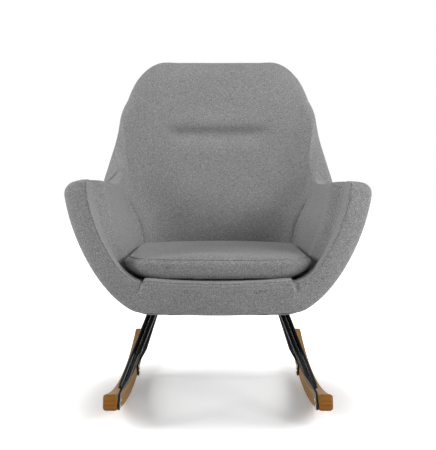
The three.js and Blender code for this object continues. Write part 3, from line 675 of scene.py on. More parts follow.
def shell_stations(start, end, total):
    """Places round the shell, at the density that gives `total` for the whole."""
    count = max(int(round((end - start) / 2 * total)), 8)
    return np.linspace(start, end, count + 1)


def cover_grid(around):
    """The outer cover: under the flange, up the outside and in under the rim's seam."""
    around = around[:, None]
    one = np.ones_like(around)
    top = below_rim(around, RIM_ROUNDING)
    flange = one * np.linspace(-1, 0, 8)[:-1]
    side = top * np.linspace(0, 1, 60)
    inside = top + (-1 - top) * np.linspace(0, 1, 12)[1:]
    # The last rows turn in over the edge
    up = np.concatenate([flange, side[:, :-3], top - [0.008, 0.004, 0.0], top, inside], 1)
    seam = 2.2 * np.exp(-distance_to_seam(around * np.ones_like(side), side, PAD_CORNER) / 4)
    depth = np.concatenate([np.zeros_like(flange), seam[:, :-3], one * [0.6, 2.0, 4.2],
                            np.full((len(around), 12), float(COVER_THICKNESS))], 1)
    return wall_point(around, up, depth)


def pad_depth(up):
    """Depth of the padding's inner surface, thinner low down where the seat lies in it."""
    return WALL_THICKNESS - PAD_THINNING * (1 - smooth(up, PAD_START, PAD_FULL))


def seam_at(up, depth=WALL_THICKNESS):
    """Where the seam between back and arm lies. It slants in towards the seat, and the outer
    half of the rim belongs to the back for a little longer, so that the arm ends in an ear."""
    slant = SEAM_SLANT * smooth(0.9 - np.asarray(up, float), 0, 0.45)
    strip = (SADDLE_AROUND - PAD_CORNER) * (1 - smooth(depth, 16, 48)) * smooth(up, 0.84, 0.96)
    return PAD_CORNER - slant + strip


def rim_points(outer_width, inner_width, inner_height, count=17):
    """Depth and drop of a padded rim: a tight outer turn, a crest and a softer inner turn."""
    turn = np.linspace(0, math.pi / 2, count)
    start = COVER_THICKNESS + LAYER_GAP
    outer = np.stack([start + outer_width * (1 - np.cos(turn)),
                      RIM_ROUNDING * (1 - np.sin(turn))], 1)
    inner = np.stack([WALL_THICKNESS - inner_width + inner_width * np.sin(turn),
                      inner_height * (1 - np.cos(turn))], 1)
    return np.concatenate([outer, inner])


BACK_RIM = rim_points(13, 40, 60)
ARM_RIM = rim_points(22, 16, 18)


def pad_grid(share, edge_a, edge_b, rim, lift, relief):
    """Closed section of the padding at each share of the way from one edge to the other.

    `edge_a` and `edge_b` give the places of the edges for (up, depth), `lift(around, depth)` raises
    the rim's crest and `relief(around, up)` is how far the inner surface stands proud of its plain
    depth.
    """
    share = share[:, None]

    def placed(up, depth):
        return edge_a(up, depth) * (1 - share) + edge_b(up, depth) * share

    def layer(up, depth):
        flat = np.full_like(up, float(depth))
        return placed(up, flat), up, flat

    depth_rim = rim[None, :, 0] * np.ones_like(share)
    around_rim = placed(np.ones_like(depth_rim), depth_rim)
    up_rim = below_rim(around_rim, rim[None, :, 1] - lift(around_rim, depth_rim))
    start_up = PAD_START + 0.004
    run = np.linspace(0, 1, 96)[1:]
    around_face, up_face, _ = layer(up_rim[:, -1:] * (1 - run) + start_up * run, WALL_THICKNESS)
    depth_face = pad_depth(up_face) + relief(around_face, up_face)
    depth_rim = depth_rim + relief(around_rim, up_rim) * smooth(depth_rim, 30, WALL_THICKNESS)
    step = below_rim(around_rim[:, :1], FRAME_BELOW_RIM - 2 * LAYER_GAP)
    run = np.linspace(0, 1, 10)
    behind = layer(start_up * (1 - run) + step * run,
                   COVER_THICKNESS + 2 * LAYER_GAP + FRAME_THICKNESS)
    ledge = layer(step, COVER_THICKNESS + LAYER_GAP)
    parts = ((around_rim, up_rim, depth_rim), (around_face, up_face, depth_face), behind, ledge)
    return to_frame(wall_point(*(np.concatenate(kind, 1) for kind in zip(*parts))))


class CHAIR_OT_outer_cover(bpy.types.Operator):
    """Stretches the outer cover over the shell's outside"""

    bl_idname = "chair.outer_cover"
    bl_label = "Outer cover"

    def execute(self, context):
        around = shell_stations(-1, 1, context.scene.rocking_chair_shell.around)
        cover = sweep("outer_cover_cloth", to_frame(cover_grid(around)), MATERIALS["upholstery"],
                      len(around) // 2)
        dress(cover, "chair", "upholstery", "outer_shell_cover")
        return {"FINISHED"}


class CHAIR_OT_inner_back(bpy.types.Operator):
    """Makes the padded inner back with its head tuck"""

    bl_idname = "chair.inner_back"
    bl_label = "Inner back"

    def execute(self, context):
        sizes = context.scene.rocking_chair_shell
        share = np.linspace(0, 1, int(sizes.around * 1.1))

        # All in mm. The rim sinks a little beside the arms.
        def lift(around, depth):
            low = smooth(np.abs(around), PAD_CORNER - 0.03, PAD_CORNER + 0.01)
            return -3.0 * low * (1 - smooth(depth, 24, 40))

        # The tuck curls up at its ends, with a full roll over it and a soft one under it
        def relief(around, up):
            point = wall_point(around, up, WALL_THICKNESS)
            side = np.abs(point[..., 0]) / (sizes.tuck_half_width / MM)
            curl = 9.0 * smooth(side, 0.72, 1.05)
            above = point[..., 2] - sizes.tuck_height / MM - curl
            fade = 1 - smooth(side, 0.62, 1.12)
            tuck = -sizes.tuck_depth / MM * bell(above, 0, np.where(above > 0, 11.0, 30.0))
            roll = 7.0 * bell(above, 36.0, 28.0) + 1.5 * bell(above, -52.0, 30.0)
            away = distance_to_seam(around, up, seam_at(up))
            seam = -sizes.seam_dip / MM * np.exp(-((away / 20.0) ** 1.5)) * smooth(up, 0.2, 0.5)
            seam = seam * (0.25 + 0.75 * smooth(1 - up, 0.02, 0.16))
            return (tuck + roll) * fade + seam

        grid = pad_grid(share, lambda up, depth: -(seam_at(up, depth) - SEAM_GAP),
                        lambda up, depth: seam_at(up, depth) - SEAM_GAP, BACK_RIM, lift, relief)
        back = sweep("inner_back_pad", grid, MATERIALS["upholstery"], len(share) // 2)
        dress(back, "chair", "upholstery", "back_pad", "back_pad_side_left", "back_pad_side_right")
        return {"FINISHED"}


class CHAIR_OT_arm_pads(bpy.types.Operator):
    """Makes the two padded inner arms, each with an ear where it meets the back"""

    bl_idname = "chair.arm_pads"
    bl_label = "Arm pads"

    def execute(self, context):
        sizes = context.scene.rocking_chair_shell
        share = np.linspace(0, 1, int(sizes.around * 0.34))
        for side, sign in SIDES:

            # All in mm. The rim rises to the front, dips in the saddle and ends in an ear.
            def lift(around, depth):
                a = np.abs(around)
                crown = CROWN_SHARES[side] * sizes.arm_crown / MM
                front = crown * smooth(a, 0.8, 1.0) * smooth(depth, 8, 54)
                hollow = -7.0 * bell(a, SADDLE_AROUND + 0.012, 0.03) * bell(depth, 32, 14)
                ear = sizes.ear_height / MM * bell(a, PAD_CORNER + 0.012, 0.028)
                return front + hollow + ear * bell(depth, 46, 13)

            # A tight edge at the back seam, a flat strip in front and a roll behind it
            def relief(around, up):
                to_back = distance_to_seam(around, up, seam_at(up))
                to_front = distance_to_seam(around, up, 1.0)
                edge = -6.0 * np.exp(-to_back / 3.5) + 5.0 * bell(to_back, 18, 14)
                fall = 2.0 + sizes.strip_depth / MM * smooth(to_front, 0, 75)
                strip = -smooth(to_front, 0, 6) * fall
                filled = smooth(to_front, 72, 112)
                roll = 6.0 * filled + 7.0 * bell(to_front, 122, 28)
                return (edge + strip * (1 - filled) + roll * smooth(up, 0.28, 0.5)
                        - 2.5 * np.exp(-to_front / 4.0))

            grid = pad_grid(share, lambda up, depth: sign * (seam_at(up, depth) + SEAM_GAP),
                            lambda up, depth: sign * np.ones_like(up), ARM_RIM, lift, relief)
            pad = sweep(f"inner_arm_pad_{side}", grid, MATERIALS["upholstery"])
            dress(pad, "chair", "upholstery", f"arm_pad_{side}")
        return {"FINISHED"}


# ---------------------------------------------------------------------------
# Front band
# ---------------------------------------------------------------------------

BAND_DEPTH = 38
BAND_HEIGHT = 86.5
BAND_BOW = 7.0  # how far the band hangs down in the middle of the seat
ARM_CROWN = 11.0
SHORT_SEAMS_X = 187  # the short upright seams at the ends of the topstitching
TOPSTITCH_SHARES = (0.785, 0.815)
TOPSTITCH = (0.0065, 0.0052, 0.0012)  # pitch, length and thickness, in metres
STITCH_END = 0.006  # how far the stitches stop before the short seams
STITCH_RISE = 0.0002
BAND_UPS = (0.92, 0.84, 0.74, 0.62, 0.5, 0.4, 0.3, 0.2, 0.13, 0.07, 0.03, 0)
# Of the band's rounded tips: share of the arm's crown, drop below the rim, outer and inner edge,
# and how far they bulge
BAND_TIP = ((-1.0, 0, 51, 60, 0.5), (-0.82, 0, 41, 61.6, 0.72), (-0.5, 0, 29, 62, 0.86),
            (-0.2, 2, 17, 62, 0.94), (0, 8, 8, 62, 0.98), (0, 16, 2.5, 62, 1.0),
            (0, 27, 0, 62, 1.0))
# The band's section: forwards in mm and share of its width
BAND_SHAPE = ((0, 0), (-7, 0), (-14, 0.015), (-20, 0.06), (-25, 0.15), (-30.5, 0.34), (-35, 0.6),
              (-37.4, 0.8), (-37.9, 0.885), (-36.3, 0.925), (-37.0, 0.962), (-33.5, 0.99),
              (-28, 1), (-18, 1), (0, 1))
BAND_POINTS = 64
BAND_SECTION = smoothed_path(BAND_SHAPE, BAND_POINTS)


def band_ring(up, start, end, fullness, rise=0.0):
    """One section of the band, in mm."""
    one = np.array([1.0])
    outer = wall_point(one, [up], [0.0])[0]
    inward = wall_point(one, [up], [1.0])[0] - outer
    upright = float(smooth(0.2 - up, 0, 0.2))
    inward = unit(unit(inward) * (1 - upright) + UP * upright)
    across = start + (end - start) * np.clip(BAND_SECTION[:, 1], 0, 1)
    ring = outer + inward * across[:, None]
    ring[:, 1] += np.minimum(np.maximum(BAND_SECTION[:, 0], -BAND_DEPTH) * fullness, -2 * LAYER_GAP)
    ring[:, 2] += rise
    return ring


def band_arm(crown):
    """The band's sections from one arm's tip down to the seat."""
    rings = [band_ring(float(below_rim(1.0, drop + share * crown)), *rest)
             for share, drop, *rest in BAND_TIP]
    for up in BAND_UPS:
        swell = float(smooth(0.45 - up, 0, 0.45))
        bow = BAND_BOW * float(smooth(0.16 - up, 0, 0.16))
        end = WALL_THICKNESS + (BAND_HEIGHT - WALL_THICKNESS) * swell
        rings.append(band_ring(up, 0, end, 1, bow))
    return np.array(rings)


def band_grid():
    """The front band from one arm's tip, under the seat and up to the other tip."""

    def filled(rings, count):
        return np.stack([smoothed_path(rings[:, i], count) for i in range(BAND_POINTS)], 1)

    left = band_arm(CROWN_SHARES["left"] * ARM_CROWN)
    right = band_arm(CROWN_SHARES["right"] * ARM_CROWN) * (-1, 1, 1)
    reach = left[-1, 0, 0]
    under = []
    for x in np.linspace(reach, -reach, 9)[1:-1]:
        ring = left[-1] * (x / reach, 1, 1)
        ring[:, 2] -= BAND_BOW * (1 - (x / reach) ** 2)
        under.append(ring)
    seat = filled(np.array([left[-1], *under, right[-1]]), 100)
    whole = np.concatenate([filled(left, 190), seat[1:-1], filled(right[::-1], 190)])
    upper = smooth(BAND_SECTION[:, 1], 0.6, 0.78) * smooth(-BAND_SECTION[:, 0], 20, 30)
    for x in (-SHORT_SEAMS_X, SHORT_SEAMS_X):
        groove = np.exp(-((whole[:, :, 0] - x) / 3.2) ** 2) * smooth(-whole[:, :, 2], -400, -380)
        whole[:, :, 1] += 2.4 * groove * upper
    return whole


def band_line(grid, share, reach):
    """A line on the band's front face at a share of its width, as far as `reach` both ways."""
    width = BAND_SECTION[:, 1]
    front = int(np.argmax(width >= share))
    mix = (share - width[front - 1]) / (width[front] - width[front - 1])
    line = grid[:, front - 1] * (1 - mix) + grid[:, front] * mix
    low = line[:, 2] < np.median(line[:, 2]) + 0.2
    return line[low & (line[:, 0] > -reach) & (line[:, 0] < reach)]


class CHAIR_OT_front_band(bpy.types.Operator):
    """Makes the band that faces the front of the arms and the seat"""

    bl_idname = "chair.front_band"
    bl_label = "Front band"

    def execute(self, context):
        grid = to_frame(band_grid())
        band = sweep("front_band_cloth", grid, MATERIALS["upholstery"], len(grid) // 2)
        dress(band, "chair", "upholstery", "front_band")
        proud = np.array([0, -STITCH_RISE, 0])
        rows = [band_line(grid, share, SHORT_SEAMS_X * MM - STITCH_END) + proud
                for share in TOPSTITCH_SHARES]
        stitches = repeated_along("front_band_topstitch", rows, MATERIALS["thread"], *TOPSTITCH)
        dress(stitches, "chair", "upholstery")
        return {"FINISHED"}


# ---------------------------------------------------------------------------
# Loose cushion
# ---------------------------------------------------------------------------

# Height share, how far the outline lies inside the widest one at the sides, in mm
CUSHION_LEVELS = ((0.0, 50), (0.05, 42), (0.12, 34), (0.22, 24), (0.34, 15.5), (0.48, 9),
                  (0.6, 5.5), (0.7, 3.5), (0.79, 4), (0.86, 9), (0.92, 19), (0.96, 34),
                  (0.985, 54), (0.995, 80))
CUSHION_CORNER = 72
CUSHION_FALL = 14
CUSHION_END_CROWN = 5
CUSHION_SWELL = 0.022
CUSHION_RAISED = 0.0015  # the outline's lowest row, over the solid's underside
CUSHION_LOWEST = 0.0008  # and how far the filled cover may come down
CUSHION_VOXEL = 0.006
PIPING_LEVEL = 10  # the row of CUSHION_LEVELS at the upper edge
PIPING_RADIUS = 0.0025
FILLING = {"use_pressure": True, "quality": 6, "mass": 0.3, "tension_stiffness": 25,
           "compression_stiffness": 12, "shear_stiffness": 8, "bending_stiffness": 1.2}
FILLING_FRAMES = 20


def cushion_rings():
    """Levels of the cushion's outline from the bottom up, in metres."""
    low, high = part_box("seat_cushion")
    half = (high.x - low.x) / 2
    thickness, length = high.z - low.z, high.y - low.y
    rings = []
    for share, inset in CUSHION_LEVELS:
        end = min(inset, 0.25 * inset + CUSHION_END_CROWN) * MM
        outline = rounded_outline(half - inset * MM, low.y + end, high.y - end,
                                  CUSHION_CORNER * MM, 10, 12)
        rings.append([(x, y, low.z + CUSHION_RAISED
                       + share * (thickness - CUSHION_FALL * MM * (y - low.y) / length))
                      for x, y in outline])
    return np.array(rings)


def points_of(made):
    """A mesh's points as an array."""
    return np.array([v.co[:] for v in made.data.vertices])


def inflate(context, made, pressure):
    """Blows a cushion's cover up against its filling in a cloth simulation, and keeps it so."""
    remesh = made.modifiers.new("even_cloth", "REMESH")
    remesh.mode = "VOXEL"
    remesh.voxel_size = CUSHION_VOXEL
    applied(context, made)
    rest = points_of(made)
    settings = made.modifiers.new("filling", "CLOTH").settings
    for key, value in FILLING.items():
        setattr(settings, key, value)
    settings.uniform_pressure_force = pressure
    settings.effector_weights.gravity = 0
    for number in range(1, FILLING_FRAMES + 1):
        context.scene.frame_set(number)
    applied(context, made)
    context.scene.frame_set(1)
    step = points_of(made) - rest
    length = np.linalg.norm(step, axis=1, keepdims=True)
    step *= np.minimum(1, CUSHION_SWELL / np.maximum(length, 1e-9))
    placed = rest + step
    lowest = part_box("seat_cushion")[0].z + CUSHION_LOWEST
    placed[:, 2] = np.maximum(placed[:, 2], lowest)
    made.data.vertices.foreach_set("co", placed.ravel())
    finer = made.modifiers.new("finer", "SUBSURF")
    finer.levels = finer.render_levels = 1
    applied(context, made)
    made.data.shade_smooth()


def line_underside_and_paint_edge_shade(cushion):
    """The underside is a black lining, up to the lower seam. Where it turns up round the lower
    edge, its black also paints the shade under the cushion's edge.
    """
    low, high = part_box("seat_cushion")
    cushion.data.materials.append(MATERIALS["lining"])
    for face in cushion.data.polygons:
        # Real lining on the underside, and painted shade on the downward faces of the lower edge
        # that the camera sees
        if face.center.z < low.z + 0.1 * (high.z - low.z) and face.normal.z < -0.2:
            face.material_index = 1


def piped_seam(name, made, ring, radius, sides=10):
    """A corded seam: a thin tube of cloth round a piece, half sunk in its surface."""
    points = np.array([made.closest_point_on_mesh(Vector(p))[1] for p in ring])
    for _ in range(3):
        points = (np.roll(points, 1, 0) + 2 * points + np.roll(points, -1, 0)) / 4
    ahead = np.roll(points, -1, 0) - np.roll(points, 1, 0)
    across = unit(np.cross(ahead, UP))[:, None]
    turn = np.linspace(0, 2 * math.pi, sides, endpoint=False)[:, None]
    grid = points[:, None] + radius * (np.cos(turn) * across + np.sin(turn) * UP)
    tube = mesh_object(name, grid.reshape(-1, 3), quads_between(len(points), sides, closed=True),
                       MATERIALS["upholstery"])
    box_uvs(tube)
    return tube


class CHAIR_OT_seat_cushion(bpy.types.Operator):
    """Fills the loose seat cushion"""

    bl_idname = "chair.seat_cushion"
    bl_label = "Seat cushion"

    def execute(self, context):
        rings = cushion_rings()
        shape = rings.shape[:2]
        cushion = mesh_object("loose_seat_cushion", rings.reshape(-1, 3),
                              quads_between(*shape) + ends_of(*shape), MATERIALS["upholstery"])
        inflate(context, cushion, context.scene.rocking_chair_shell.cushion_pressure)
        line_underside_and_paint_edge_shade(cushion)
        box_uvs(cushion)
        dress(cushion, "cushion", "upholstery", "seat_cushion")
        piping = piped_seam("seat_cushion_piping", cushion, rings[PIPING_LEVEL], PIPING_RADIUS)
        dress(piping, "cushion", "upholstery")
        return {"FINISHED"}


# ---------------------------------------------------------------------------
# Seat deck
# ---------------------------------------------------------------------------

# Height share and how far the outline lies inside the widest one, in mm
DECK_LEVELS = ((0.0, 9.0), (0.08, 4.0), (0.25, 1.0), (0.5, 0.2), (0.72, 1.2), (0.86, 4.0),
               (0.95, 9.0), (1.0, 20.0))
DECK_CORNER = 0.058
DECK_INSET = 0.001  # how far the cloth stays inside the solid at its sides and top
DECK_RAISED = 0.0006  # and at its underside
SPRING_PITCH = 0.056
DENT_DEPTH = 0.0018
STAPLE_PITCH = 0.04
STAPLE = (STAPLE_PITCH, 0.010, 0.0012)  # pitch, length and thickness
STAPLE_INSET = 0.006
LINING_ACROSS, LINING_ALONG = 61, 97  # points in the lining's grid
LINING_INSET = 0.0015
LINING_THICKNESS = 0.0005
LINING_FOLD = 0.0003
LINING_PULL = 0.0004  # how far the cloth bulges between two staples


def deck_pad():
    """Foam in black cloth: soft edges, a low crown and shallow dents over the springs. Its black
    also paints the shade in the gap between the cushion and the front band.
    """
    low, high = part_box("deck_pad")
    middle, thickness = (low.y + high.y) / 2, high.z - low.z
    rings = []
    for share, inset in DECK_LEVELS:
        edge = DECK_INSET + inset * MM
        outline = rounded_outline(high.x - DECK_INSET - inset * MM, low.y + edge, high.y - edge,
                                  DECK_CORNER, 8, 14)
        z = low.z + DECK_RAISED + share * (thickness - DECK_INSET - DECK_RAISED)
        rings.append([(x, y, z) for x, y in outline])

    def drawn_in(ring, share, z):
        return [(x * share, (y - middle) * share + middle, z) for x, y, _ in ring]

    inner = [drawn_in(rings[-1], share, high.z - DECK_INSET)
             for share in (0.85, 0.65, 0.45, 0.25, 0.08)]
    under = [drawn_in(rings[0], share, low.z + DECK_RAISED) for share in (0.2, 0.6)]
    grid = np.array(under + rings + inner)
    top = grid[-len(inner):]
    top[..., 2] -= DENT_DEPTH / 2 * (1 + np.sin(top[..., 0] * 2 * math.pi / SPRING_PITCH))
    # Painted shade: besides being the deck's lining, the black cloth darkens the gap between the
    # cushion and the front band
    return sweep("deck_pad_cloth", grid, MATERIALS["lining"])


def seat_lining():
    """Non-woven sheet stapled under the seat, drawn taut with its edge turned under, and the
    path of its staples."""
    low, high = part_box("dust_cover")
    x = np.linspace(low.x + LINING_INSET, high.x - LINING_INSET, LINING_ACROSS)
    y = np.linspace(low.y + LINING_INSET, high.y - LINING_INSET, LINING_ALONG)
    gx, gy = np.meshgrid(x, y)
    edge_x = np.minimum(gx - x[0], x[-1] - gx)
    edge_y = np.minimum(gy - y[0], y[-1] - gy)
    wave = 2 * math.pi / STAPLE_PITCH
    pull = LINING_PULL * (np.sin(gy * wave) * np.exp(-edge_x / 0.02)
                          + np.sin(gx * wave) * np.exp(-edge_y / 0.02))
    fold = LINING_FOLD * smooth(np.minimum(edge_x, edge_y), 0.010, 0.012)
    z = low.z + 0.0004 + fold + (pull - pull.min()) * 0.3
    sheet = np.stack([gx, gy, np.minimum(z, high.z - 0.0006)], -1).reshape(-1, 3)
    count = len(sheet)
    faces = []
    for first in range(0, count - LINING_ACROSS, LINING_ACROSS):
        for a in range(first, first + LINING_ACROSS - 1):
            b = a + LINING_ACROSS
            faces.append((a, b, b + 1, a + 1))
            faces.append((count + a, count + a + 1, count + b + 1, count + b))
    number = np.arange(count).reshape(LINING_ALONG, LINING_ACROSS)
    rim = [int(n) for run in (number[0], number[1:, -1], number[-1, -2::-1], number[-2:0:-1, 0])
           for n in run]
    faces.extend((a, b, count + b, count + a) for a, b in zip(rim, rim[1:] + rim[:1]))
    made = mesh_object("seat_lining_sheet", np.concatenate([sheet, sheet + LINING_THICKNESS * UP]),
                       faces, MATERIALS["lining"])
    box_uvs(made)
    right, left = x[0] + STAPLE_INSET, x[-1] - STAPLE_INSET
    front, back = y[0] + STAPLE_INSET, y[-1] - STAPLE_INSET
    corners = ((right, front), (left, front), (left, back), (right, back), (right, front))
    return made, [(*corner, low.z) for corner in corners]


class CHAIR_OT_seat_deck(bpy.types.Operator):
    """Finishes the frame and springs, and makes the deck's padding, the lining and its staples"""

    bl_idname = "chair.seat_deck"
    bl_label = "Seat deck"

    def execute(self, context):
        nodes = frame["nodes"]
        repaint([n for n in nodes if "frame" in n or "rail" in n], MATERIALS["plywood"])
        repaint([n for n in nodes if "spring" in n], MATERIALS["zinc"])
        pad = deck_pad()
        dress(pad, "chair", "foam", "deck_pad")
        lining, path = seat_lining()
        staples = repeated_along("lining_staples", [path], MATERIALS["zinc"], *STAPLE)
        dress(lining, "chair", "lining", "dust_cover")
        dress(staples, "chair", "zinc_plated_steel")
        return {"FINISHED"}


# ---------------------------------------------------------------------------
# Stitches and fasteners
# ---------------------------------------------------------------------------


def path_mesh(name, paths):
    """Edges through each run of points, for a node tree to follow."""
    vertices, edges = [], []
    for path in paths:
        first = len(vertices)
        vertices.extend(tuple(float(c) for c in p) for p in path)
        edges.extend((first + i, first + i + 1) for i in range(len(path) - 1))
    mesh = bpy.data.meshes.new(name)
    mesh.from_pydata(vertices, edges, [])
    return linked(name, mesh)


def node_tree(name, sizes):
    """A geometry tree with a named float input for each size. Returns the tree and its ends."""
    tree = bpy.data.node_groups.new(name, "GeometryNodeTree")
    tree.interface.new_socket("Geometry", in_out="INPUT", socket_type="NodeSocketGeometry")
    for label in sizes:
        tree.interface.new_socket(label, in_out="INPUT", socket_type="NodeSocketFloat")
    tree.interface.new_socket("Material", in_out="INPUT", socket_type="NodeSocketMaterial")
    tree.interface.new_socket("Geometry", in_out="OUTPUT", socket_type="NodeSocketGeometry")
    return tree, add_node(tree, "NodeGroupInput"), add_node(tree, "NodeGroupOutput")


def placed_along(tree, start, end, points, solid, direction):
    """Ends a tree: the solid on every point, turned along a direction, as real geometry."""
    turned = add_node(tree, "FunctionNodeAlignRotationToVector", links={"Vector": direction},
                      axis="Z")
    placed = add_node(tree, "GeometryNodeInstanceOnPoints",
                      links={"Points": points, "Instance": solid, "Rotation": turned.outputs[0]})
    real = add_node(tree, "GeometryNodeRealizeInstances", links={0: placed.outputs[0]})
    shaded = add_node(tree, "GeometryNodeSetShadeSmooth", links={0: real.outputs[0]})
    painted = add_node(tree, "GeometryNodeSetMaterial",
                       links={"Geometry": shaded.outputs[0], "Material": start.outputs["Material"]})
    tree.links.new(painted.outputs[0], end.inputs[0])


def stitch_tree():
    """Thread stitches along a path: pitch, length and thickness, all in metres."""
    tree, start, end = node_tree("stitches_along_a_path", ("Pitch", "Length", "Thickness"))
    given = start.outputs
    curve = add_node(tree, "GeometryNodeMeshToCurve", links={0: given["Geometry"]})
    even = add_node(tree, "GeometryNodeResampleCurve",
                    links={"Curve": curve.outputs[0], "Length": given["Pitch"]}, mode="LENGTH")
    bead = add_node(tree, "GeometryNodeMeshUVSphere", {"Segments": 6, "Rings": 4, "Radius": 0.5})
    size = add_node(tree, "ShaderNodeCombineXYZ",
                    links={0: given["Thickness"], 1: given["Thickness"], 2: given["Length"]})
    stitch = add_node(tree, "GeometryNodeTransform",
                      links={"Geometry": bead.outputs["Mesh"], "Scale": size.outputs[0]})
    tangent = add_node(tree, "GeometryNodeInputTangent")
    placed_along(tree, start, end, even.outputs[0], stitch.outputs[0], tangent.outputs[0])
    return tree


def screw_tree():
    """Pan-head fasteners with a hex socket, one on each vertex, along its axis."""
    tree, start, end = node_tree("socket_heads_on_points", ("Head", "Height", "Shaft", "Length"))

    def part(label, factor):
        return maths(tree, "MULTIPLY", start.outputs[label], factor)

    def shifted(solid, z):
        place = add_node(tree, "ShaderNodeCombineXYZ", links={2: z})
        links = {"Geometry": solid.outputs["Mesh"], "Translation": place.outputs[0]}
        return add_node(tree, "GeometryNodeTransform", links=links).outputs[0]

    def joined(kind, socket, solids, **settings):
        node = add_node(tree, kind, **settings)
        for solid in solids:
            tree.links.new(solid, node.inputs[socket])
        return node

    rim = add_node(tree, "GeometryNodeMeshCylinder", {"Vertices": 32},
                   {"Radius": part("Head", 0.5), "Depth": part("Height", 0.5)})
    dome = add_node(tree, "GeometryNodeMeshCone", {"Vertices": 32, "Side Segments": 3},
                    {"Radius Bottom": part("Head", 0.497), "Radius Top": part("Head", 0.34),
                     "Depth": part("Height", 0.5)})
    socket = add_node(tree, "GeometryNodeMeshCylinder", {"Vertices": 6},
                      {"Radius": part("Head", 0.22), "Depth": part("Height", 1.2)})
    shaft = add_node(tree, "GeometryNodeMeshCylinder", {"Vertices": 16},
                     {"Radius": part("Shaft", 0.5), "Depth": start.outputs["Length"]})
    head = joined("GeometryNodeMeshBoolean", "Mesh 2", [shifted(rim, part("Height", 0.25)),
                                                        shifted(dome, part("Height", 0.499))],
                  operation="UNION")
    cut = joined("GeometryNodeMeshBoolean", "Mesh 2", [shifted(socket, part("Height", 1.0))],
                 operation="DIFFERENCE")
    tree.links.new(head.outputs[0], cut.inputs["Mesh 1"])
    whole = joined("GeometryNodeJoinGeometry", 0,
                   [cut.outputs[0], shifted(shaft, part("Length", -0.5))])
    axis = add_node(tree, "GeometryNodeInputNamedAttribute", {"Name": "axis"},
                    data_type="FLOAT_VECTOR")
    placed_along(tree, start, end, start.outputs["Geometry"], whole.outputs[0], axis.outputs[0])
    return tree


def grown(made, tree, values, material):
    """Runs a node tree on an object and keeps its result as a plain mesh."""
    nodes = made.modifiers.new("grown", "NODES")
    nodes.node_group = tree
    for item in tree.interface.items_tree:
        if item.in_out == "INPUT" and item.name in values:
            nodes[item.identifier] = float(values[item.name])
        elif item.in_out == "INPUT" and item.name == "Material":
            nodes[item.identifier] = material
    applied(bpy.context, made)
    if not made.data.polygons:
        raise RuntimeError(f"{made.name} came out empty")
    return made


def repeated_along(name, paths, material, pitch, length, thickness):
    """Stitches or staples along paths, as one mesh."""
    values = {"Pitch": pitch, "Length": length, "Thickness": thickness}
    return grown(path_mesh(name, paths), stitch_tree(), values, material)


def fasteners(name, places, axes, material, head, height, shaft, length):
    """Screws or bolts of one size, as one mesh."""
    mesh = bpy.data.meshes.new(name)
    mesh.from_pydata([tuple(p) for p in places], [], [])
    axis = mesh.attributes.new("axis", "FLOAT_VECTOR", "POINT")
    axis.data.foreach_set("vector", np.array(axes, np.float32).ravel())
    values = {"Head": head, "Height": height, "Shaft": shaft, "Length": length}
    made = grown(linked(name, mesh), screw_tree(), values, material)
    made.data.shade_smooth()
    sharpen(made)
    return made


# ---------------------------------------------------------------------------
# Legs
# ---------------------------------------------------------------------------

# Sizes of the legs in mm, in the shell's own frame
FIT = 0.3
ROD_DIAMETER = 12
ROD_TAPER = 48
ROD_WEDGE_EDGE = 2
ROD_DOME = np.radians((8, 25, 42, 60, 75, 90))
HEADS_Y = {"front": -112, "rear": 52}
FEET_REACH = {"front": -325, "rear": 80}
TAB_THICKNESS = 5
TAB_WIDTH = 20
TAB_BELOW_BEND = 40
TAB_NECK = 14
TAB_INTO_ROD = 22
TONGUE_SPARE = 0.5
PLATE_THICKNESS = 4
PLATE_WIDTH = 50
PLATE_OUTER_X = BASE_HALF_WIDTH - 12
PLATE_CORNER = 8
PLATE_Y = (-162, 86)
ROD_HEAD_X = PLATE_OUTER_X - ROD_DIAMETER
BOLT_EDGE_DISTANCE = 11
SCREW_SPACING = 15
PLATE_BOLT = (0.013, 0.004, 0.006, 0.045)  # head, its height, shaft and its length, in metres
WOOD_SCREW = (0.009, 0.0026, 0.0045, 0.022)
ROCKER_RADIUS = 1280
ROCKER_FACET = 56
ROCKER_FACETS_EACH_WAY = 6
ROCKER_LOWEST_Y = 48
ROCKER_INNER_X = 245
ROCKER_WIDTH = 35
ROCKER_HEIGHT = 40
ROCKER_EDGE = 7
# Of a rocker's rounded ends: distance along the edge in mm and share of the full section
ROCKER_TIP = ((0.0, 0.84), (0.5, 0.89), (1.4, 0.935), (2.8, 0.965), (4.8, 0.985), (8.0, 1.0))
PLATE_TOP_Z = SHELL_BOTTOM_Z - FIT
PLATE_LOW_Z = PLATE_TOP_Z - PLATE_THICKNESS
ROD_TOP_Z = PLATE_LOW_Z - FIT


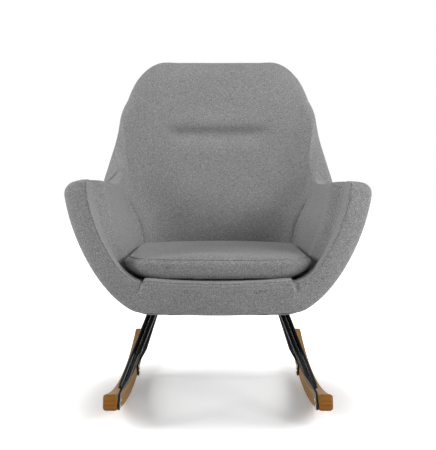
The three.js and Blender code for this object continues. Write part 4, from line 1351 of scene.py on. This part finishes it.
class Leg:
    """Lines of one pair of rods: where its tab bends, its foot and its directions, in mm."""

    def __init__(self, end, sign):
        reach = FEET_REACH[end]
        top = ROCKER_RADIUS - math.sqrt(ROCKER_RADIUS ** 2 - reach ** 2) + ROCKER_HEIGHT
        self.sign = sign
        self.bend = np.array([sign * (ROCKER_INNER_X - FIT - TAB_THICKNESS / 2),
                              ROCKER_LOWEST_Y + reach, top])
        self.head = np.array([sign * ROD_HEAD_X, HEADS_Y[end], ROD_TOP_Z])
        self.along = unit(self.head - self.bend)
        self.foot = self.bend + TAB_NECK * self.along
        self.across = unit(np.array([1.0, 0, 0]) - self.along * self.along[0])
        self.third = np.cross(self.along, self.across)
        self.lean = self.along[1:] / np.linalg.norm(self.along[1:])

    def rod(self, name, side, material, sides=40):
        """One rod with a domed lower end. The pair's inner rod is ground to a wedge there."""
        radius = ROD_DIAMETER / 2
        offset = self.across * side * (radius + FIT / 2)
        turn = np.linspace(0, 2 * math.pi, sides, endpoint=False)
        total = float(np.linalg.norm(self.head - self.foot))
        lengths = [*(radius * (1 - np.cos(ROD_DOME))), *np.linspace(radius + 2, ROD_TAPER + 6, 16),
                   total * 0.6, total]
        sizes = [*(radius * np.sin(ROD_DOME))] + [radius] * (len(lengths) - len(ROD_DOME))
        rings = []
        for length, size in zip(lengths, sizes):
            u, v = size * np.cos(turn), size * np.sin(turn)
            if side * self.sign < 0:
                room = ROD_WEDGE_EDGE + (ROD_DIAMETER - ROD_WEDGE_EDGE) * length / ROD_TAPER
                u = side * (np.minimum(side * u + radius, room) - radius)
            rings.append(self.foot + offset + self.along * length
                         + u[:, None] * self.across + v[:, None] * self.third)
        rings[-1] += self.along * ((ROD_TOP_Z - rings[-1][:, 2]) / self.along[2])[:, None]
        made = sweep(name, to_frame(np.array(rings)), material)
        sharpen(made, 38)
        return made

    def tab(self, name, material):
        """Blade with a round lower lobe that bends at the rocker's edge and leans with the rods."""
        run = float(np.linalg.norm(self.along[1:]))
        slope = self.along[0] / run
        width, tongue = TAB_WIDTH / 2, ROD_DIAMETER / 2 - TONGUE_SPARE
        low = -TAB_BELOW_BEND + width
        lobe = np.radians((12, 24, 36, 48, 60, 75, 90))
        rings = [*zip(low - width * np.cos(lobe), width * np.sin(lobe)),
                 (low * 0.5, width), (-3, width), (0, width), (3, width - 0.6),
                 (TAB_NECK * run * 0.6, width * 0.75), (TAB_NECK * run, tongue),
                 ((TAB_NECK + TAB_INTO_ROD) * run, tongue)]
        grid = [[(self.bend[0] + face * TAB_THICKNESS / 2 + max(p, 0) * slope,
                  self.bend[1] + p * self.lean[0] - share * half * self.lean[1],
                  self.bend[2] + p * self.lean[1] + share * half * self.lean[0])
                 for share, face in ((1, 1), (0, 1), (-1, 1), (-1, -1), (0, -1), (1, -1))]
                for p, half in rings]
        made = sweep(name, to_frame(np.array(grid)), material)
        soften(made, 0.9 * MM)
        return made

    def screws(self):
        """Seats of the two wood screws on the tab's inner face."""
        lean = np.array([0, *self.lean])
        inward = np.array([-self.sign * (TAB_THICKNESS / 2 + FIT), 0, 0])
        low = self.bend + lean * (-TAB_BELOW_BEND + TAB_WIDTH / 2) + inward
        return [low, low + lean * SCREW_SPACING]


def leg_plate(side, sign):
    """A flat bar with round corners and eased edges."""
    half = PLATE_WIDTH / 2
    middle = sign * (PLATE_OUTER_X - half)
    outline = rounded_outline(half, *PLATE_Y, PLATE_CORNER, 8, 2)
    grid = np.array([[(middle + x, y, z) for x, y in outline] for z in (PLATE_LOW_Z, PLATE_TOP_Z)])
    made = sweep(f"leg_plate_{side}", to_frame(grid), MATERIALS["powder_coat"])
    soften(made, 0.8 * MM)
    return made


class CHAIR_OT_rod_legs(bpy.types.Operator):
    """Makes the rods, their plates and tabs, and sets the bolts and screws"""

    bl_idname = "chair.rod_legs"
    bl_label = "Rod legs"

    def execute(self, context):
        coat = MATERIALS["powder_coat"]
        bolts, screws, axes, bolt_nodes, screw_nodes = [], [], [], [], []
        for side, sign in SIDES:
            dress(leg_plate(side, sign), "chair", "black_steel", f"mounting_plate_{side}")
            bolts += [(sign * x, y, PLATE_LOW_Z - FIT)
                      for y in (PLATE_Y[0] + BOLT_EDGE_DISTANCE, PLATE_Y[1] - BOLT_EDGE_DISTANCE)
                      for x in (PLATE_OUTER_X - PLATE_WIDTH + BOLT_EDGE_DISTANCE,
                                PLATE_OUTER_X - BOLT_EDGE_DISTANCE)]
            bolt_nodes += [f"plate_bolt_{side}_{i}" for i in (1, 2, 3, 4)]
            for end in ("front", "rear"):
                leg = Leg(end, sign)
                for part, way in (("outer", sign), ("inner", -sign)):
                    rod = leg.rod(f"{end}_leg_rod_{part}_{side}", way, coat)
                    dress(rod, "chair", "black_steel", f"{end}_rod_{part}_{side}")
                tab = leg.tab(f"{end}_rocker_tab_{side}", coat)
                dress(tab, "chair", "black_steel", f"{end}_tab_{side}")
                screws += leg.screws()
                axes += [(-sign, 0, 0)] * 2
                screw_nodes += [f"{end}_screw_{side}_{i}" for i in (1, 2)]
        for name, seats, ways, sizes, nodes in (
                ("plate_bolts", bolts, [(0, 0, -1)] * len(bolts), PLATE_BOLT, bolt_nodes),
                ("rocker_screws", screws, axes, WOOD_SCREW, screw_nodes)):
            made = fasteners(name, to_frame(seats), ways, MATERIALS["zinc"], *sizes)
            dress(made, "chair", "zinc_plated_steel", *nodes)
        return {"FINISHED"}


def rounded_section(width, height, edge, steps):
    """A rectangle with rounded corners, from (0, 0) to (width, height)."""
    centres = ((width - edge, height - edge), (edge, height - edge), (edge, edge),
               (width - edge, edge))
    points = []
    for quarter, (cx, cy) in enumerate(centres):
        for i in range(steps + 1):
            angle = (quarter + i / steps) * math.pi / 2
            points.append((cx + edge * math.cos(angle), cy + edge * math.sin(angle)))
    return np.array(points)


def bent_rocker(name, sign):
    """A softened rectangle swept along the running edge, with rounded ends."""
    pitch = 2 * math.asin(ROCKER_FACET / 2 / ROCKER_RADIUS)
    end = (ROCKER_FACETS_EACH_WAY + 0.5) * pitch
    section = rounded_section(ROCKER_WIDTH, ROCKER_HEIGHT, ROCKER_EDGE, 6)
    held = np.array([0.9 * ROCKER_WIDTH, 0.85 * ROCKER_HEIGHT])
    front = [(go / ROCKER_RADIUS - end, size) for go, size in ROCKER_TIP]
    back = [(-angle, size) for angle, size in reversed(front)]
    middle = [(angle, 1.0) for angle in np.linspace(front[-1][0], back[0][0], 118)[1:-1]]
    rows = []
    for angle, size in front + middle + back:
        x, z = (held + (section - held) * size).T
        radius = ROCKER_RADIUS - z
        rows.append(np.stack([sign * (ROCKER_INNER_X + x),
                              ROCKER_LOWEST_Y + radius * np.sin(angle),
                              ROCKER_RADIUS - radius * np.cos(angle)], 1))
    made = sweep(name, to_frame(np.array(rows)), MATERIALS["beech"])
    made.data.materials.append(MATERIALS["end_grain"])
    first, last = 3 * len(section), (len(rows) - 4) * len(section)
    for face in made.data.polygons:
        if len(face.vertices) > 4 or face.index < first or face.index >= last:
            face.material_index = 1
    made.data.uv_layers[CLOTH_UV].name = GRAIN_UV
    return made


class CHAIR_OT_rockers(bpy.types.Operator):
    """Bends the two wooden rockers"""

    bl_idname = "chair.rockers"
    bl_label = "Rockers"

    def execute(self, context):
        for side, sign in SIDES:
            dress(bent_rocker(f"beech_rocker_{side}", sign), "chair", "lacquered_wood",
                  f"rocker_{side}")
        return {"FINISHED"}


# ---------------------------------------------------------------------------
# Stage
# ---------------------------------------------------------------------------

# Name, place, the height it looks at, size and power
LAMPS = (("right_softbox", (2.1, -1.9, 1.9), 0.5, 1.2, 42),
         ("right_side_softbox", (2.8, -0.6, 1.7), 0.5, 1.2, 44),
         ("left_side_softbox", (-2.8, -0.7, 1.6), 0.5, 1.2, 66),
         ("top_softbox", (0, -0.5, 3.0), 0.4, 1.6, 10))
FLOOR_REACH = 9
WHITE = (1, 1, 1, 1)


class CHAIR_OT_stage(bpy.types.Operator):
    """Lays the floor, hangs the lights and places the camera"""

    bl_idname = "chair.stage"
    bl_label = "Stage"

    def execute(self, context):
        stage = context.scene.rocking_chair_stage
        self.lay_floor(stage)
        self.light_sky(context)
        for lamp in LAMPS:
            self.hang_lamp(*lamp)
        self.place_camera(context, stage)
        context.scene.view_settings.view_transform = "Standard"
        return {"FINISHED"}

    def lay_floor(self, stage):
        """White paper that glows for the camera, less so round the chair, where the dimmer glow
        paints a pool of shade over the chair's own shadow.
        """
        paper = Finish("seamless_paper_floor", 0.9, Specular_IOR_Level=0.2)
        paper.surface.inputs["Base Color"].default_value = (*stage.floor_colour, 1.0)
        paper.surface.inputs["Emission Color"].default_value = WHITE
        centred = paper.add("Mapping", {"Location": (0, 0.18, 0), "Scale": (1.3, 1.7, 1)},
                            {"Vector": paper.place})
        away = paper.add("VectorMath", links={0: centred.outputs[0]}, operation="LENGTH")
        # Painted shade: near the chair the glow falls to 0.15 of its full strength, which darkens
        # the floor round it
        lift = ranged(paper.tree, away.outputs["Value"], 0.3, 0.8, 0.15, 1.0,
                      interpolation_type="SMOOTHSTEP")
        paper.to("Emission Strength",
                 maths(paper.tree, "MULTIPLY", seen_directly(paper.tree), lift))
        mesh = bpy.data.meshes.new("paper_floor")
        far = FLOOR_REACH
        mesh.from_pydata([(-far, -far, 0), (far, -far, 0), (far, far, 0), (-far, far, 0)], [],
                         [(0, 1, 2, 3)])
        mesh.materials.append(paper.material)
        linked("paper_floor", mesh)

    def light_sky(self, context):
        """White for the camera, faint as a light."""
        world = bpy.data.worlds.new("studio_air")
        world.use_nodes = True
        tree = world.node_tree
        tree.nodes.clear()
        strength = ranged(tree, seen_directly(tree), low=0.08, high=1.0)
        sky = add_node(tree, "ShaderNodeBackground", {"Color": WHITE}, {"Strength": strength})
        add_node(tree, "ShaderNodeOutputWorld", links={"Surface": sky.outputs[0]})
        context.scene.world = world

    def hang_lamp(self, name, place, target_z, size, watts):
        """A square softbox that looks at a point over the middle of the footprint."""
        lamp = bpy.data.lights.new(name, "AREA")
        lamp.shape = "SQUARE"
        lamp.size = size
        lamp.energy = watts
        hung = linked(name, lamp)
        hung.location = place
        aim = Vector((0, 0, target_z)) - Vector(place)
        hung.rotation_euler = aim.to_track_quat("-Z", "Y").to_euler()

    def place_camera(self, context, stage):
        """In front of the chair, at the height and tilt of the settings."""
        camera = bpy.data.cameras.new("view")
        camera.sensor_width = 36
        camera.lens = stage.lens
        held = linked("view", camera)
        held.location = (0, -stage.camera_distance, stage.camera_height)
        held.rotation_euler = (math.pi / 2 - stage.camera_tilt, 0, 0)
        context.scene.camera = held


# ---------------------------------------------------------------------------
# Add-on
# ---------------------------------------------------------------------------

STEPS = (CHAIR_OT_outer_cover, CHAIR_OT_inner_back, CHAIR_OT_arm_pads, CHAIR_OT_front_band,
         CHAIR_OT_seat_cushion, CHAIR_OT_seat_deck, CHAIR_OT_rod_legs, CHAIR_OT_rockers,
         CHAIR_OT_stage)


class CHAIR_PT_panel(bpy.types.Panel):
    """Lists the chair's pieces in the order in which they are made"""

    bl_idname = "CHAIR_PT_panel"
    bl_label = "Rocking Chair"
    bl_space_type = "VIEW_3D"
    bl_region_type = "UI"
    bl_category = "Rocking Chair"

    def draw(self, context):
        for group in (context.scene.rocking_chair_shell, context.scene.rocking_chair_stage):
            box = self.layout.box()
            for key in group.__annotations__:
                box.prop(group, key)
        for step in STEPS:
            self.layout.operator(step.bl_idname)


GROUPS = (RockingChairShell, RockingChairStage)


def register():
    for item in (*GROUPS, *STEPS, CHAIR_PT_panel):
        bpy.utils.register_class(item)
    bpy.types.Scene.rocking_chair_shell = PointerProperty(type=RockingChairShell)
    bpy.types.Scene.rocking_chair_stage = PointerProperty(type=RockingChairStage)


def unregister():
    del bpy.types.Scene.rocking_chair_stage
    del bpy.types.Scene.rocking_chair_shell
    for item in reversed((*GROUPS, *STEPS, CHAIR_PT_panel)):
        bpy.utils.unregister_class(item)


def main():
    register()
    build_materials()
    for step in STEPS:
        area, name = step.bl_idname.split(".")
        getattr(getattr(bpy.ops, area), name)()


if __name__ == "__main__":
    main()
